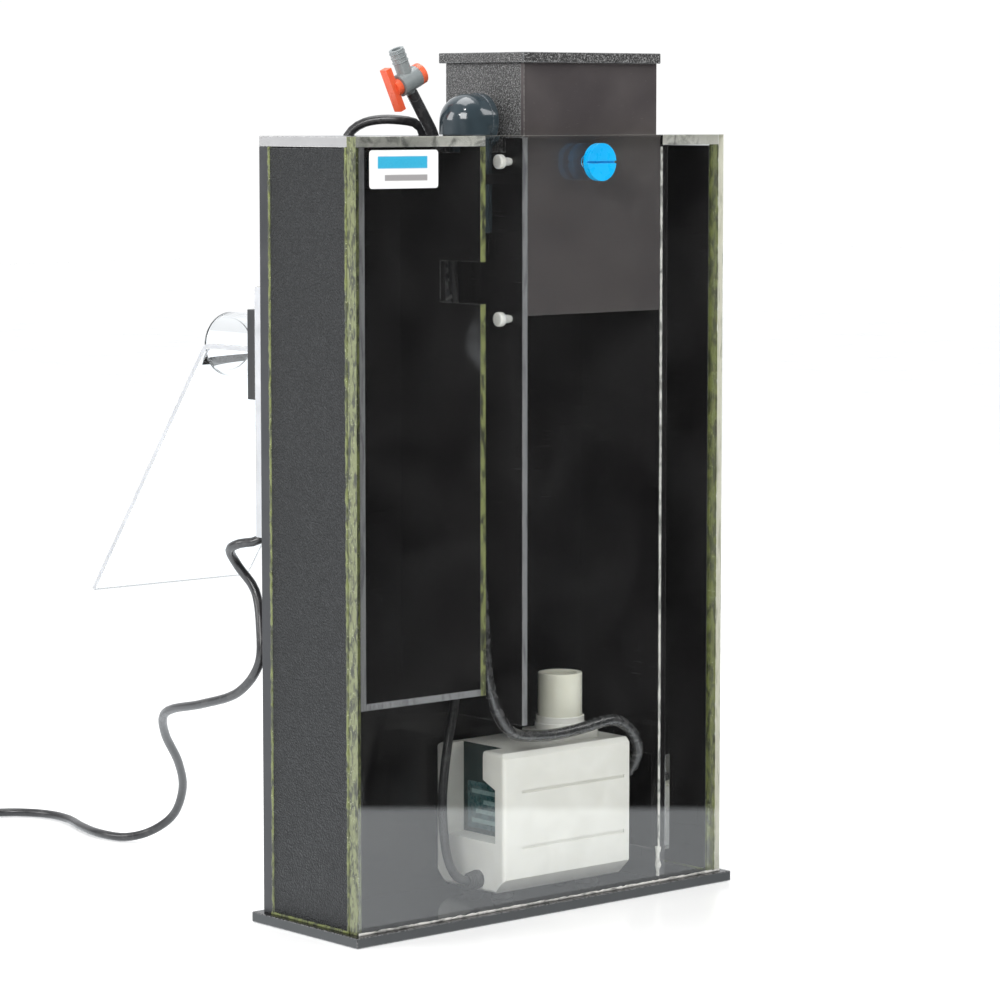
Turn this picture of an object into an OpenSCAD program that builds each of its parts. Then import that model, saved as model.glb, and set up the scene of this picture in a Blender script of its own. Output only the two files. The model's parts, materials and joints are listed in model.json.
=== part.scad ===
// Hang-on protein skimmer for a marine aquarium: a slim acrylic case with three
// chambers, a needle-wheel pump, a lift-out foam cup and the fittings on its back.
// +X runs to the right along the clear front pane, +Y to the back, +Z up.
// The origin is the centre of the case on the base plate's underside.

/* [Case] */
// Width of the case, side face to side face
case_w = 284; // [280:2:360]
// Depth of the case, front of the pane to back of the back panel
case_d = 88; // [84:2:120]
// Height of the case above the base plate
case_h = 450; // [430:5:560]
// Thickness of the clear front pane
pane_t = 8; // [6:0.5:10]
// Thickness of the black back panel
back_t = 8; // [6:0.5:10]
// Thickness of each black side panel
side_t = 6; // [5:0.5:8]
// Thickness of the base plate
base_t = 6; // [5:0.5:10]
// How far the base plate stands out past the case all round
base_lip = 5; // [3:0.5:10]
// Thickness of the two top covers
cover_t = 6; // [4:0.5:8]
// Width of the cemented joint lines
seam_t = 2; // [1:0.5:2.5]

/* [Chambers] */
// Thickness of the inner partitions
wall_t = 4; // [3:0.5:5]
// Clear width of the outlet chamber, left
outlet_chamber_w = 85; // [70:1:95]
// Clear width of the narrow channel that the cord and hose run down
channel_w = 28; // [26:1:32]
// Clear width of the foam tower that the cup hangs in
tower_w = 107; // [90:1:110]
// Height of the outlet chamber's floor above the base plate
chamber_floor_z = 127; // [115:1:150]
// Height of the tower partition's lower edge above the base plate
tower_gap_z = 106; // [100:1:125]
// Height of the window in the outlet chamber's partition
window_h = 24; // [12:1:40]
// Depth of that window, from the pane towards the back
window_d = 36; // [20:1:48]
// Drop from the case's top to the window's upper edge
window_drop = 72; // [60:1:110]
// Height of the flow slot under the inlet partition's guard
flow_slot_h = 58; // [40:1:80]
// Number of slots in the intake comb
comb_slots = 5; // [3:1:6]
// Width of each intake slot
comb_slot_w = 4; // [3:0.5:5]
// Height of the intake slots
comb_slot_h = 60; // [30:2:90]

/* [Foam cup] */
// Height of the cup's walls
cup_h = 146; // [110:2:170]
// How far the cup's walls stand above the case
cup_rise = 42; // [30:1:60]
// Thickness of the cup's walls
cup_wall = 3; // [2:0.5:4]
// Gap between the cup and the tower all round
cup_gap = 1; // [0.5:0.25:2]
// Thickness of the cup's lid
lid_t = 6; // [4:0.5:8]
// How far the lid stands out past the cup
lid_lip = 3; // [2:0.5:6]
// The same at its right end
lid_right_lip = 0.5; // [0:0.5:6]
// Depth of the locating rim under the lid
lid_rim_h = 6; // [4:1:12]
// Width of the foam shaft at the right of the cup
foam_shaft_w = 54; // [40:1:65]
// Height of the slope that leads the foam to the shaft
slope_h = 62; // [40:2:80]
// Diameter of the locking screw's head
lock_head_d = 22; // [16:1:28]
// Thickness of the locking screw's head
lock_head_t = 4.5; // [3:0.5:8]
// Thread diameter of the locking screw
lock_thread_d = 8; // [6:1:10]

/* [Pipework] */
// Outer diameter of the clear outlet pipe
outlet_od = 38; // [32:1:40]
// Wall of the clear outlet pipe
outlet_wall = 3; // [2:0.5:4]
// Length of the outlet pipe behind the back panel
outlet_len = 66; // [35:1:70]
// Height of the outlet pipe's axis above the base plate
outlet_z = 327; // [300:1:340]
// Outer diameter of the elbow's riser
riser_od = 25; // [20:1:25]
// Wall of the elbow's riser
riser_wall = 2.5; // [1.5:0.5:3]
// Outer diameter of the grey elbow
elbow_od = 32; // [30:1:34]
// Outer diameter of the rim round the elbow's mouth
elbow_rim_od = 33; // [32:1:34]
// Distance from the elbow's riser axis to its mouth
elbow_reach = 10.5; // [9:0.5:11]
// Angle of the elbow's mouth towards the cup, from straight ahead
elbow_turn = 90; // [0:5:90]

/* [Return chute] */
// Thickness of the bent clear chute
chute_t = 3; // [2:0.5:4]
// Width of the chute
chute_w = 118; // [100:1:130]
// Length of the chute's sloping leg
chute_leg = 194; // [120:2:220]
// Steepness of the sloping leg, below level
chute_slope = 53; // [35:1:60]
// Height of the black chute brackets
bracket_h = 52; // [40:1:60]
// Thickness of the clear spacer strips behind the brackets
strip_t = 6; // [4:0.5:8]

/* [Pump] */
// Length of the pump block, without its suction cover
pump_len = 96; // [90:1:100]
// Depth of the pump block
pump_d = 62; // [56:1:64]
// Height of the pump block
pump_h = 84; // [78:1:90]
// Height of the rubber feet under the pump
pump_foot_h = 5; // [3:0.5:8]
// Outer diameter of the pump's outlet stub
stub_od = 26.5; // [24:0.5:30]
// Height of the outlet stub above its collar
stub_h = 26; // [20:1:40]
// Diameter of the rotor's magnet
magnet_d = 26; // [20:1:28]
// Diameter of the needle wheel
needle_wheel_d = 42; // [34:1:44]
// Diameter of the rotor's fixed shaft
shaft_d = 4; // [3:0.5:5]

/* [Air valve] */
// Outer diameter of the valve's barrel
valve_od = 13; // [10:0.5:15]
// Length of the valve's barrel
valve_len = 14; // [12:0.5:18]
// Length of the wing handle
wing_len = 26; // [18:1:30]
// Outer diameter of the air hose
hose_d = 7; // [5:0.5:8]

/* [Power cord] */
// Diameter of the power cord
cord_d = 5.5; // [5:0.25:6]
// Outer diameter of the coiled remainder
coil_od = 72; // [66:1:90]
// Length of the plug's body
plug_len = 36; // [30:1:50]

/* [Hidden] */
$fn = 64;
cut = 1;          // how far a cutting solid runs past the face that it opens
run_fit = 0.05;   // radial clearance of a shaft in its bearing
skin_t = 0.3;     // thickness of a printed label

// Faces of the case
left_x = -case_w / 2;
right_x = case_w / 2;
front_y = -case_d / 2;
rear_y = case_d / 2;
floor_z = base_t;
top_z = base_t + case_h;
inner_front_y = front_y + pane_t;
inner_rear_y = rear_y - back_t;
inner_d = inner_rear_y - inner_front_y;
wall_top_z = top_z - cover_t;

// Partitions, by their left faces
liner_x = left_x + side_t;
window_wall_x = liner_x + wall_t + outlet_chamber_w;
tower_wall_x = window_wall_x + wall_t + channel_w;
tower_x = tower_wall_x + wall_t;
inlet_wall_x = tower_x + tower_w;
inlet_x = inlet_wall_x + wall_t;
channel_x = window_wall_x + wall_t;
channel_mid_x = channel_x + channel_w / 2;
window_top_z = top_z - window_drop;
comb_z = top_z - 150;

// Foam cup
cup_x = tower_x + cup_gap;
cup_w = tower_w - 2 * cup_gap;
cup_y = inner_front_y + cup_gap;
cup_d = inner_d - 2 * cup_gap;
cup_top_z = top_z + cup_rise;
cup_z = cup_top_z - cup_h;
shaft_wall_x = cup_x + cup_w - cup_wall - foam_shaft_w - cup_wall;
stop_screw_y = front_y + 19;
stop_screw_zs = [cup_z - 2, top_z - 15];
lock_x = tower_x + 46;
lock_z = top_z - 15.5;
lock_neck = 4.5;

// Outlet pipe and chute
outlet_r = outlet_od / 2;
outlet_x = liner_x + wall_t + outlet_r - 1;
outlet_axis_z = floor_z + outlet_z;
strip_z = outlet_axis_z - 108;
strip_h = 145;
strip_face_y = rear_y + strip_t;
bracket_w = 8;
bracket_d = 7;
bracket_groove = 4;
slot_gap = 1;
slide_fit = 0.3;
bracket_x = left_x + 0.5;
chute_x = bracket_x + bracket_w - bracket_groove + slide_fit;
right_bracket_x = chute_x + chute_w + slide_fit - bracket_groove;
chute_y = strip_face_y + 0.6;
chute_z = outlet_axis_z;
chute_bend_y = strip_face_y + 54;
chute_bend_r = 7;
bracket_z = chute_z - bracket_h / 2 - 2.5;

// Elbow
riser_x = channel_mid_x - 1;
riser_y = front_y + 36.5;
elbow_axis_z = top_z + 8;
elbow_socket = 7.5;
riser_len = 60;
bridge_t = 6;
bridge_z = top_z - 22;
elbow_swing_r = norm([elbow_reach, elbow_rim_od / 2]) + 0.5;

// Pump
pump_x = inlet_wall_x - 24 - pump_len;
pump_y = front_y + 14;
pump_z = floor_z + pump_foot_h;
pump_mid_y = pump_y + pump_d / 2;
shaft_z = pump_z + 40;
cover_plate_t = 4;
pocket_len = 15;
pocket_z = 30;
pocket_label_h = 28;
cheek_t = 8;
rotor_bore_r = magnet_d / 2 + 1;
rotor_tube_r = rotor_bore_r + 2;
rotor_len = 28;
volute_r = needle_wheel_d / 2 + 1.5;
volute_x = pump_x + 60;
volute_len = 20;
spigot_x = volute_x + volute_len;
spigot_len = pump_x + pump_len - spigot_x;
rotor_bore_x = volute_x - rotor_len - 4;
cavity_x = pump_x + pocket_len + 3;
cavity_end_x = volute_x - 3;
cavity_wall = 6;
bush_t = 3;
bush_r = shaft_d / 2 + 1.5;
web_t = 4;
stub_x = pump_x + 69;
stub_y = front_y + 42;
stub_bore_r = stub_od / 2 - 3;
flange_z = pump_z + pump_h;
flange_t = 5.5;
collar_h = 8;
nozzle_len = 12;
nozzle_r = 11;
nipple_lean = 45;
gland_z = pump_z + 7;
gland_y = pump_mid_y - 8;
gland_len = 9;

// Air valve, leaning to the left over the channel
valve_x = -58.4;
valve_y = 12;
valve_z = 487.3;
valve_lean = 25;
valve_stub = 10;

// Power cord: centre line from the gland to the coil
cord_points = [
    [-33, -7, 18], [-40, -6, 21], [-44, -3, 31], [-45, 0, 48], [-44, 2, 70], [-38.5, 4, 98],
    [-30.5, 6, 128], [-26, 9, 165], [-25, 12, 250], [-24, 14, 340], [-24.5, 16.5, 390],
    [-27.5, 19.4, 415], [-31.8, 21.4, 432], [-36.2, 21.8, 445.5], [-37.6, 22.4, 455.3],
    [-39.4, 22.9, 460.2], [-43.5, 23.9, 463.4], [-51.2, 28, 464.9], [-58.6, 35.2, 465.2], [-65.3, 42.8, 463.4],
    [-70.3, 48.4, 458.9], [-74.1, 51.4, 451], [-77.8, 51.8, 441], [-82.5, 49.9, 427],
    [-86.5, 48, 408], [-88, 47.2, 385], [-88, 47.2, 340], [-90, 47.2, 295], [-99, 48, 262],
    [-115, 50, 237], [-134, 55, 223], [-142, 65, 220], [-140, 77, 215], [-130, 82, 204],
    [-124, 74, 190], [-128, 64, 170], [-131, 62, 148], [-130, 84, 129], [-129, 120, 118],
    [-124, 157, 110], [-114, 181, 101], [-97, 202, 85], [-73, 222, 63], [-56, 241, 42],
    [-48, 262, 21], [-52, 281, 8], [-62, 296, 3], [-67, 318, 3], [-62, 345, 3], [-54, 372, 3],
    [-55, 396, 3], [-68, 416, 3], [-90, 426, 3], [-112, 425, 3]
];
// Air hose: centre line from the valve to the pump's nipple
hose_points = [
    [-55.3, 12, 480.8], [-50.2, 12, 473.2], [-44.5, 12.3, 465], [-38.9, 12.8, 456.5],
    [-35.8, 13.6, 446], [-35, 14, 430], [-35, 15, 405], [-36, 10, 372], [-35, 0, 330],
    [-34, -10, 280], [-34, -18, 225], [-35, -24, 180], [-35.5, -27, 152], [-34, -28, 138],
    [-29.5, -29, 123], [-22, -29, 111.5], [-13, -28.5, 105.8], [0, -28, 103.6],
    [14, -27.3, 102.5], [28, -27, 102.8], [42, -27, 104], [55, -27, 105.8], [66, -27, 106],
    [75, -26.5, 102.5], [83, -26.5, 95], [86.5, -26, 87], [86.8, -24.5, 79.5],
    [85.2, -20.3, 72.5], [83.4, -14.8, 66.8], [83, -10.2, 62.2]
];
cord_ring_step = 19;
hose_ring_step = 20;
tube_sides = 8;
coil_x = -112;
coil_y = 461;
coil_h = 12;
coil_core_d = coil_od - 25;
plug_w = 34;
plug_x = coil_x - coil_od / 2 - plug_w;
plug_y = 448;

// ---------------------------------------------------------------- helpers

// A plate between two corners
module plate(from, to) { translate(from) cube(to - from); }

// A bar along X whose end profile has chamfered edges
module chamfered_bar(len, d, h, ch) {
    rotate([90, 0, 90]) linear_extrude(len)
        polygon([[ch, 0], [d - ch, 0], [d, ch], [d, h - ch / 3], [d - ch / 3, h],
                 [ch / 3, h], [0, h - ch / 3], [0, ch]]);
}

// The room that the elbow's mouth sweeps as it turns
module elbow_swing() {
    translate([riser_x, riser_y, elbow_axis_z - elbow_rim_od / 2 - 1])
        cylinder(h = elbow_rim_od, r = elbow_swing_r);
}

// A round-cornered plate lying in XY
module rounded_plate(size, r, t) {
    linear_extrude(t) {
        translate([r, 0]) square([size[0] - 2 * r, size[1]]);
        translate([0, r]) square([size[0], size[1] - 2 * r]);
        for (x = [r, size[0] - r], y = [r, size[1] - r]) translate([x, y]) circle(r);
    }
}

// Smooth point on the curve through four points
function spline_at(a, b, c, d, t) =
    0.5 * ((2 * b) + (c - a) * t + (2 * a - 5 * b + 4 * c - d) * t * t
    + (3 * b - a - 3 * c + d) * t * t * t);
function clamp_i(i, n) = max(0, min(n - 1, i));
function unit(v) = v / norm(v);
// The route's points, spread about a ring step apart
function route(p, step) = [
    for (i = [0 : len(p) - 2])
        let (n = max(1, round(norm(p[i + 1] - p[i]) / step)))
        for (k = [0 : n - 1])
            spline_at(p[clamp_i(i - 1, len(p))], p[i], p[i + 1],
                      p[clamp_i(i + 2, len(p))], k / n),
    p[len(p) - 1]
];
// Keep the points that are at least a step from the last one kept
function thin(p, step, i = 1, last = 0, kept = []) =
    i >= len(p) - 1 ? concat([p[0]], kept, [p[len(p) - 1]])
    : norm(p[i] - p[last]) >= step && norm(p[i] - p[len(p) - 1]) >= step * 0.6
        ? thin(p, step, i + 1, i, concat(kept, [p[i]]))
        : thin(p, step, i + 1, last, kept);
function heading(p, i) = unit(p[min(i + 1, len(p) - 1)] - p[max(i - 1, 0)]);
// A side direction carried along the route without twisting
function carry(s, t) = unit(s - t * (s * t));
function sides_along(p, i = 0, s = [0.3, 0.9, 0.1], out = []) =
    i >= len(p) ? out
    : let (n = carry(s, heading(p, i))) sides_along(p, i + 1, n, concat(out, [n]));
// One closed tube along a route
module tube(points, r, step) {
    p = thin(route(points, step / 4), step);
    s = sides_along(p);
    n = len(p);
    rings = [
        for (i = [0 : n - 1])
            let (t = heading(p, i), u = s[i], v = cross(t, u))
            for (k = [0 : tube_sides - 1])
                p[i] + r * (cos(k * 360 / tube_sides) * u + sin(k * 360 / tube_sides) * v)
    ];
    walls = [
        for (i = [0 : n - 2], k = [0 : tube_sides - 1])
            let (a = i * tube_sides + k, b = i * tube_sides + (k + 1) % tube_sides)
            for (f = [[a, a + tube_sides, b], [b, a + tube_sides, b + tube_sides]]) f
    ];
    first = [for (k = [0 : tube_sides - 1]) k];
    last = [for (k = [tube_sides - 1 : -1 : 0]) (n - 1) * tube_sides + k];
    polyhedron(points = rings, faces = concat(walls, [first, last]));
}

// ---------------------------------------------------------------- case

module base_plate() {
    color([0.05, 0.05, 0.055])
        plate([left_x - base_lip, front_y - base_lip, 0],
              [right_x + base_lip, rear_y + base_lip, base_t]);
}

module back_panel() {
    color([0.06, 0.06, 0.065]) difference() {
        plate([left_x, inner_rear_y, floor_z], [right_x, rear_y, wall_top_z]);
        translate([outlet_x, inner_rear_y - cut, outlet_axis_z]) rotate([-90, 0, 0])
            cylinder(h = back_t + 2 * cut, r = outlet_r);
        comb_room = right_x - side_t - inlet_x;
        pitch = comb_room / comb_slots;
        for (i = [0 : comb_slots - 1])
            translate([inlet_x + pitch * (i + 0.5) - comb_slot_w / 2,
                       inner_rear_y - cut, comb_z])
                cube([comb_slot_w, back_t + 2 * cut, comb_slot_h]);
    }
}

module side_panel(x) {
    color([0.07, 0.07, 0.075])
        plate([x, inner_front_y + seam_t, floor_z + seam_t / 2],
              [x + side_t, inner_rear_y - seam_t, wall_top_z - 0.6]);
}
module left_side_panel() { side_panel(left_x); }
module right_side_panel() { side_panel(right_x - side_t); }

module front_pane() {
    color([0.75, 0.8, 0.78, 0.35]) difference() {
        plate([left_x, front_y, floor_z], [right_x, inner_front_y, top_z]);
        translate([lock_x, front_y - cut, lock_z]) rotate([-90, 0, 0])
            cylinder(h = pane_t + 2 * cut, r = lock_thread_d / 2 + run_fit);
    }
}

module chamber_liner() {
    color([0.2, 0.2, 0.21])
        plate([liner_x, inner_front_y, floor_z + chamber_floor_z],
              [liner_x + wall_t, inner_rear_y, wall_top_z]);
}

module chamber_floor() {
    color([0.12, 0.13, 0.13])
        plate([liner_x + wall_t, inner_front_y, floor_z + chamber_floor_z],
              [window_wall_x, inner_rear_y, floor_z + chamber_floor_z + wall_t]);
}

module window_partition() {
    color([0.1, 0.1, 0.11]) difference() {
        plate([window_wall_x, inner_front_y, floor_z + chamber_floor_z],
              [window_wall_x + wall_t, inner_rear_y, wall_top_z]);
        plate([window_wall_x - cut, inner_front_y - cut, window_top_z - window_h],
              [window_wall_x + wall_t + cut, inner_front_y + window_d, window_top_z]);
        elbow_swing();
    }
}

module tower_partition() {
    color([0.35, 0.35, 0.37]) difference() {
        plate([tower_wall_x, inner_front_y, floor_z + tower_gap_z],
              [tower_x, inner_rear_y, top_z - 1]);
        for (z = stop_screw_zs)
            translate([tower_wall_x - cut, stop_screw_y, z]) rotate([0, 90, 0])
                cylinder(h = wall_t + 2 * cut, r = 2);
        elbow_swing();
    }
}

module inlet_partition() {
    color([0.5, 0.5, 0.5]) difference() {
        plate([inlet_wall_x, inner_front_y, floor_z], [inlet_x, inner_rear_y, wall_top_z]);
        plate([inlet_wall_x - cut, inner_front_y + 8, floor_z + 18],
              [inlet_x + cut, inner_rear_y - 8, floor_z + 18 + flow_slot_h]);
    }
}

module inlet_guard() {
    guard_y = inner_front_y;
    color([0.7, 0.74, 0.74])
        plate([inlet_x, guard_y, floor_z + 18],
              [inlet_x + wall_t, guard_y + 8, floor_z + 18 + flow_slot_h]);
}

module left_top_cover() {
    color([0.3, 0.31, 0.32]) difference() {
        plate([left_x, inner_front_y, wall_top_z],
              [window_wall_x + wall_t, rear_y, top_z]);
        elbow_swing();
    }
}

module right_top_cover() {
    color([0.3, 0.31, 0.32])
        plate([inlet_wall_x, inner_front_y, wall_top_z], [right_x, rear_y, top_z]);
}

module cement_seams() {
    color([0.5, 0.55, 0.3]) for (x = [left_x, right_x - side_t]) {
        plate([x, inner_front_y, floor_z], [x + side_t, inner_front_y + seam_t, wall_top_z]);
        plate([x, inner_rear_y - seam_t, floor_z], [x + side_t, inner_rear_y, wall_top_z]);
        plate([x, inner_front_y + seam_t, floor_z],
              [x + side_t, inner_rear_y - seam_t, floor_z + seam_t / 2]);
    }
}

module name_label() {
    color([0.93, 0.93, 0.92])
        translate([left_x + 9.5, front_y, top_z - 29]) rotate([90, 0, 0])
            rounded_plate([50, 21.5], 2, skin_t);
}

// ---------------------------------------------------------------- pipework

module elbow_bridge() {
    color([0.1, 0.1, 0.11]) difference() {
        plate([channel_x, riser_y - 16, bridge_z - bridge_t],
              [tower_wall_x, riser_y + 16, bridge_z]);
        translate([riser_x, riser_y, bridge_z - bridge_t - cut])
            cylinder(h = bridge_t + 2 * cut, r = riser_od / 2);
    }
}

module elbow_riser() {
    color([0.4, 0.44, 0.47]) translate([riser_x, riser_y, elbow_axis_z - 4 - riser_len])
        difference() {
            cylinder(h = riser_len, r = riser_od / 2);
            translate([0, 0, -cut])
                cylinder(h = riser_len + 2 * cut, r = riser_od / 2 - riser_wall);
        }
}

module pipe_elbow() {
    bore_r = riser_od / 2 + run_fit;
    color([0.42, 0.47, 0.5]) translate([riser_x, riser_y, elbow_axis_z])
        rotate([0, 0, elbow_turn]) difference() {
            union() {
                translate([0, 0, -elbow_socket]) cylinder(h = elbow_socket, r = elbow_od / 2);
                sphere(r = elbow_od / 2);
                rotate([90, 0, 0]) cylinder(h = elbow_reach, r = elbow_od / 2);
                translate([0, -elbow_reach + 4, 0]) rotate([90, 0, 0])
                    cylinder(h = 4, r = elbow_rim_od / 2);
            }
            translate([0, 0, -elbow_od]) cylinder(h = elbow_od, r = bore_r);
            sphere(r = bore_r);
            rotate([90, 0, 0]) cylinder(h = elbow_od, r = bore_r);
        }
}

module outlet_pipe() {
    color([0.9, 0.93, 0.95, 0.4]) translate([outlet_x, inner_rear_y, outlet_axis_z])
        rotate([-90, 0, 0]) difference() {
            cylinder(h = back_t + outlet_len, r = outlet_r);
            translate([0, 0, -cut])
                cylinder(h = back_t + outlet_len + 2 * cut, r = outlet_r - outlet_wall);
        }
}

module spacer_strips() {
    color([0.88, 0.92, 0.94, 0.35]) for (x = [bracket_x, right_bracket_x])
        plate([x, rear_y, strip_z], [x + bracket_w, strip_face_y, strip_z + strip_h]);
}

// The chute's side profile in Y and Z: a strip of even thickness with a round bend
module chute_strip() {
    half = chute_t / 2;
    lead = chute_bend_r * tan(chute_slope / 2);
    flat = chute_bend_y - chute_y - lead;
    leg = (chute_leg - lead) * [cos(chute_slope), -sin(chute_slope)];
    steps = 6;
    over = [for (i = [0 : steps]) bend_point(flat, chute_bend_r + half, i / steps)];
    under = [for (i = [0 : steps]) bend_point(flat, chute_bend_r - half, 1 - i / steps)];
    polygon(concat([[0, half]], over, [over[steps] + leg, under[0] + leg], under,
                   [[0, -half]]));
}

// A point of the chute's bend, at radius r and this share of the way round it
function bend_point(flat, r, share) =
    [flat + r * sin(share * chute_slope), r * cos(share * chute_slope) - chute_bend_r];

module chute_brackets() {
    groove_h = chute_t + 2 * slide_fit;
    color([0.04, 0.04, 0.045]) difference() {
        for (x = [bracket_x, right_bracket_x])
            plate([x, strip_face_y, bracket_z],
                  [x + bracket_w, strip_face_y + bracket_d, bracket_z + bracket_h]);
        plate([chute_x - slide_fit, strip_face_y + 0.3, chute_z - groove_h / 2],
              [chute_x + chute_w + slide_fit, strip_face_y + bracket_d + cut,
               chute_z + groove_h / 2]);
    }
}

module return_chute() {
    color([0.88, 0.92, 0.94, 0.35]) difference() {
        translate([chute_x, chute_y, chute_z]) rotate([90, 0, 90])
            linear_extrude(chute_w) chute_strip();
        translate([outlet_x - outlet_r - slot_gap, chute_y - cut, chute_z - 40])
            cube([outlet_od + 2 * slot_gap,
                  rear_y + outlet_len + slot_gap - chute_y + cut, 80]);
    }
}

// ---------------------------------------------------------------- foam cup

module cup_stop_screws() {
    color([0.93, 0.93, 0.9]) for (z = stop_screw_zs)
        translate([tower_wall_x, stop_screw_y, z]) rotate([0, 90, 0]) {
            translate([0, 0, -10]) cylinder(h = 4, r = 4.2);
            translate([0, 0, -6]) cylinder(h = 6 + wall_t + cup_gap * 0.5, r = 2);
        }
}

module cup_shell() {
    color([0.22, 0.22, 0.23]) difference() {
        plate([cup_x, cup_y + cup_wall, cup_z], [cup_x + cup_w, cup_y + cup_d, cup_top_z]);
        plate([cup_x + cup_wall, cup_y - cut, cup_z - cut],
              [cup_x + cup_w - cup_wall, cup_y + cup_d - cup_wall, cup_top_z + cut]);
    }
}

module cup_front() {
    color([0.2, 0.19, 0.2, 0.8])
        plate([cup_x, cup_y, cup_z], [cup_x + cup_w, cup_y + cup_wall, cup_top_z]);
}

module foam_slope() {
    x0 = cup_x + cup_wall;
    x1 = shaft_wall_x;
    rise = cup_h - 30;
    color([0.25, 0.24, 0.25, 0.8])
        translate([0, cup_y + cup_d - cup_wall, 0]) rotate([90, 0, 0])
            linear_extrude(cup_d - 2 * cup_wall)
                polygon([
                    [x0, cup_z], [x0 + 4, cup_z], [x1 + cup_wall, cup_z + slope_h],
                    [x1 + cup_wall, cup_z + rise], [x1, cup_z + rise],
                    [x1, cup_z + slope_h + 2], [x0, cup_z + 5]
                ]);
}

module cup_lid() {
    color([0.24, 0.24, 0.25])
        plate([cup_x - lid_lip, cup_y - lid_lip, cup_top_z],
              [cup_x + cup_w + lid_right_lip, cup_y + cup_d + lid_lip, cup_top_z + lid_t]);
}

module lid_rim() {
    gap = 0.5;
    x0 = cup_x + cup_wall + gap;
    y0 = cup_y + cup_wall + gap;
    x1 = cup_x + cup_w - cup_wall - gap;
    y1 = cup_y + cup_d - cup_wall - gap;
    color([0.2, 0.2, 0.21]) difference() {
        plate([x0, y0, cup_top_z - lid_rim_h], [x1, y1, cup_top_z]);
        plate([x0 + cup_wall, y0 + cup_wall, cup_top_z - lid_rim_h - cut],
              [x1 - cup_wall, y1 - cup_wall, cup_top_z + cut]);
    }
}

module lock_screw() {
    color([0.1, 0.6, 0.9]) translate([lock_x, front_y, lock_z]) rotate([90, 0, 0])
        difference() {
            union() {
                translate([0, 0, -pane_t - cup_gap + 0.2])
                    cylinder(h = pane_t + cup_gap - 0.2 + lock_neck, r = lock_thread_d / 2);
                translate([0, 0, lock_neck]) cylinder(h = lock_head_t, r = lock_head_d / 2);
                cylinder(h = lock_neck, r = lock_thread_d / 2 + 1.5);
            }
            translate([-lock_head_d, -0.7, lock_neck + lock_head_t - 1.6])
                cube([2 * lock_head_d, 1.4, 3]);
        }
}

// ---------------------------------------------------------------- pump

// A straight round bar along the pump's shaft line
module on_shaft(x, length, r) {
    translate([x, pump_mid_y, shaft_z]) rotate([0, 90, 0]) cylinder(h = length, r = r);
}

// The motor's room inside the housing
module motor_room() {
    plate([cavity_x, pump_y + cavity_wall, pump_z + cavity_wall],
          [cavity_end_x, pump_y + pump_d - cavity_wall, pump_z + pump_h - cavity_wall]);
}

module pump_housing() {
    color([0.93, 0.93, 0.91]) difference() {
        union() {
            difference() {
                translate([pump_x, pump_y, pump_z])
                    chamfered_bar(pump_len, pump_d, pump_h, 9);
                motor_room();
            }
            on_shaft(cavity_x - 1, cavity_end_x - cavity_x + 2, rotor_tube_r);
        }
        // pocket in the left end, between two cheeks; the front one is thicker above
        translate([pump_x - cut, pump_y, pump_z]) rotate([90, 0, 90])
            linear_extrude(pocket_len + cut) polygon([
                [cheek_t, pocket_z], [pump_d - cheek_t, pocket_z],
                [pump_d - cheek_t, pump_h + cut], [cheek_t + 11, pump_h + cut],
                [cheek_t + 11, pocket_z + 37], [cheek_t, pocket_z + 32]
            ]);
        // two grooves across the front and two across the back
        for (z = [26, 59.5], y = [pump_y - cut, pump_y + pump_d - 1])
            translate([pump_x + 14, y, pump_z + z]) cube([pump_len - 12, 1 + cut, 2]);
        on_shaft(rotor_bore_x, rotor_len + 4 + cut, rotor_bore_r);
        on_shaft(rotor_bore_x - bush_t, bush_t + cut, bush_r);
        on_shaft(volute_x, pump_x + pump_len - volute_x + cut, volute_r);
        translate([stub_x, stub_y, shaft_z]) cylinder(h = pump_h, r = 8);
    }
}

module motor_block() {
    color([0.08, 0.16, 0.16]) difference() {
        motor_room();
        on_shaft(cavity_x, cavity_end_x - cavity_x, rotor_tube_r + 0.3);
    }
}

module pump_label() {
    color([0.15, 0.3, 0.32])
        translate([pump_x + pocket_len, pump_y + cheek_t + 4, pump_z + pocket_z + 3])
            rotate([0, -90, 0])
                rounded_plate([pocket_label_h, pump_d - 2 * cheek_t - 8], 1, skin_t);
}

module suction_cover() {
    x = pump_x + pump_len;
    duct_r = nozzle_r - 3;
    color([0.92, 0.92, 0.9]) difference() {
        union() {
            translate([x, pump_y, pump_z]) chamfered_bar(cover_plate_t, pump_d, pump_h, 9);
            on_shaft(x + cover_plate_t, nozzle_len, nozzle_r);
            on_shaft(spigot_x, spigot_len, volute_r - 0.2);
        }
        on_shaft(spigot_x + web_t, spigot_len + cover_plate_t + nozzle_len, duct_r);
        // the hole for the air nipple
        translate([x + cover_plate_t + 7, pump_mid_y, shaft_z]) rotate([nipple_lean, 0, 0])
            cylinder(h = nozzle_r + cut, r = 2);
        // three windows let the water through the web that holds the shaft's bush
        for (a = [60, 180, 300])
            translate([spigot_x - cut, pump_mid_y, shaft_z]) rotate([a, 0, 0])
                translate([0, -2.4, 3.8]) cube([web_t + 2 * cut, 4.8, 3.8]);
        on_shaft(spigot_x - cut, bush_t + cut, bush_r);
        // the seal's groove round the spigot
        difference() {
            on_shaft(x - 6, 3, volute_r + cut);
            on_shaft(x - 7, 5, volute_r - 1.7);
        }
        for (y = [9, pump_d - 9], z = [12, pump_h - 10])
            translate([x - cut, pump_y + y, pump_z + z]) rotate([0, 90, 0])
                cylinder(h = cover_plate_t + 2 * cut, r = 1.6);
    }
}

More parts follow.
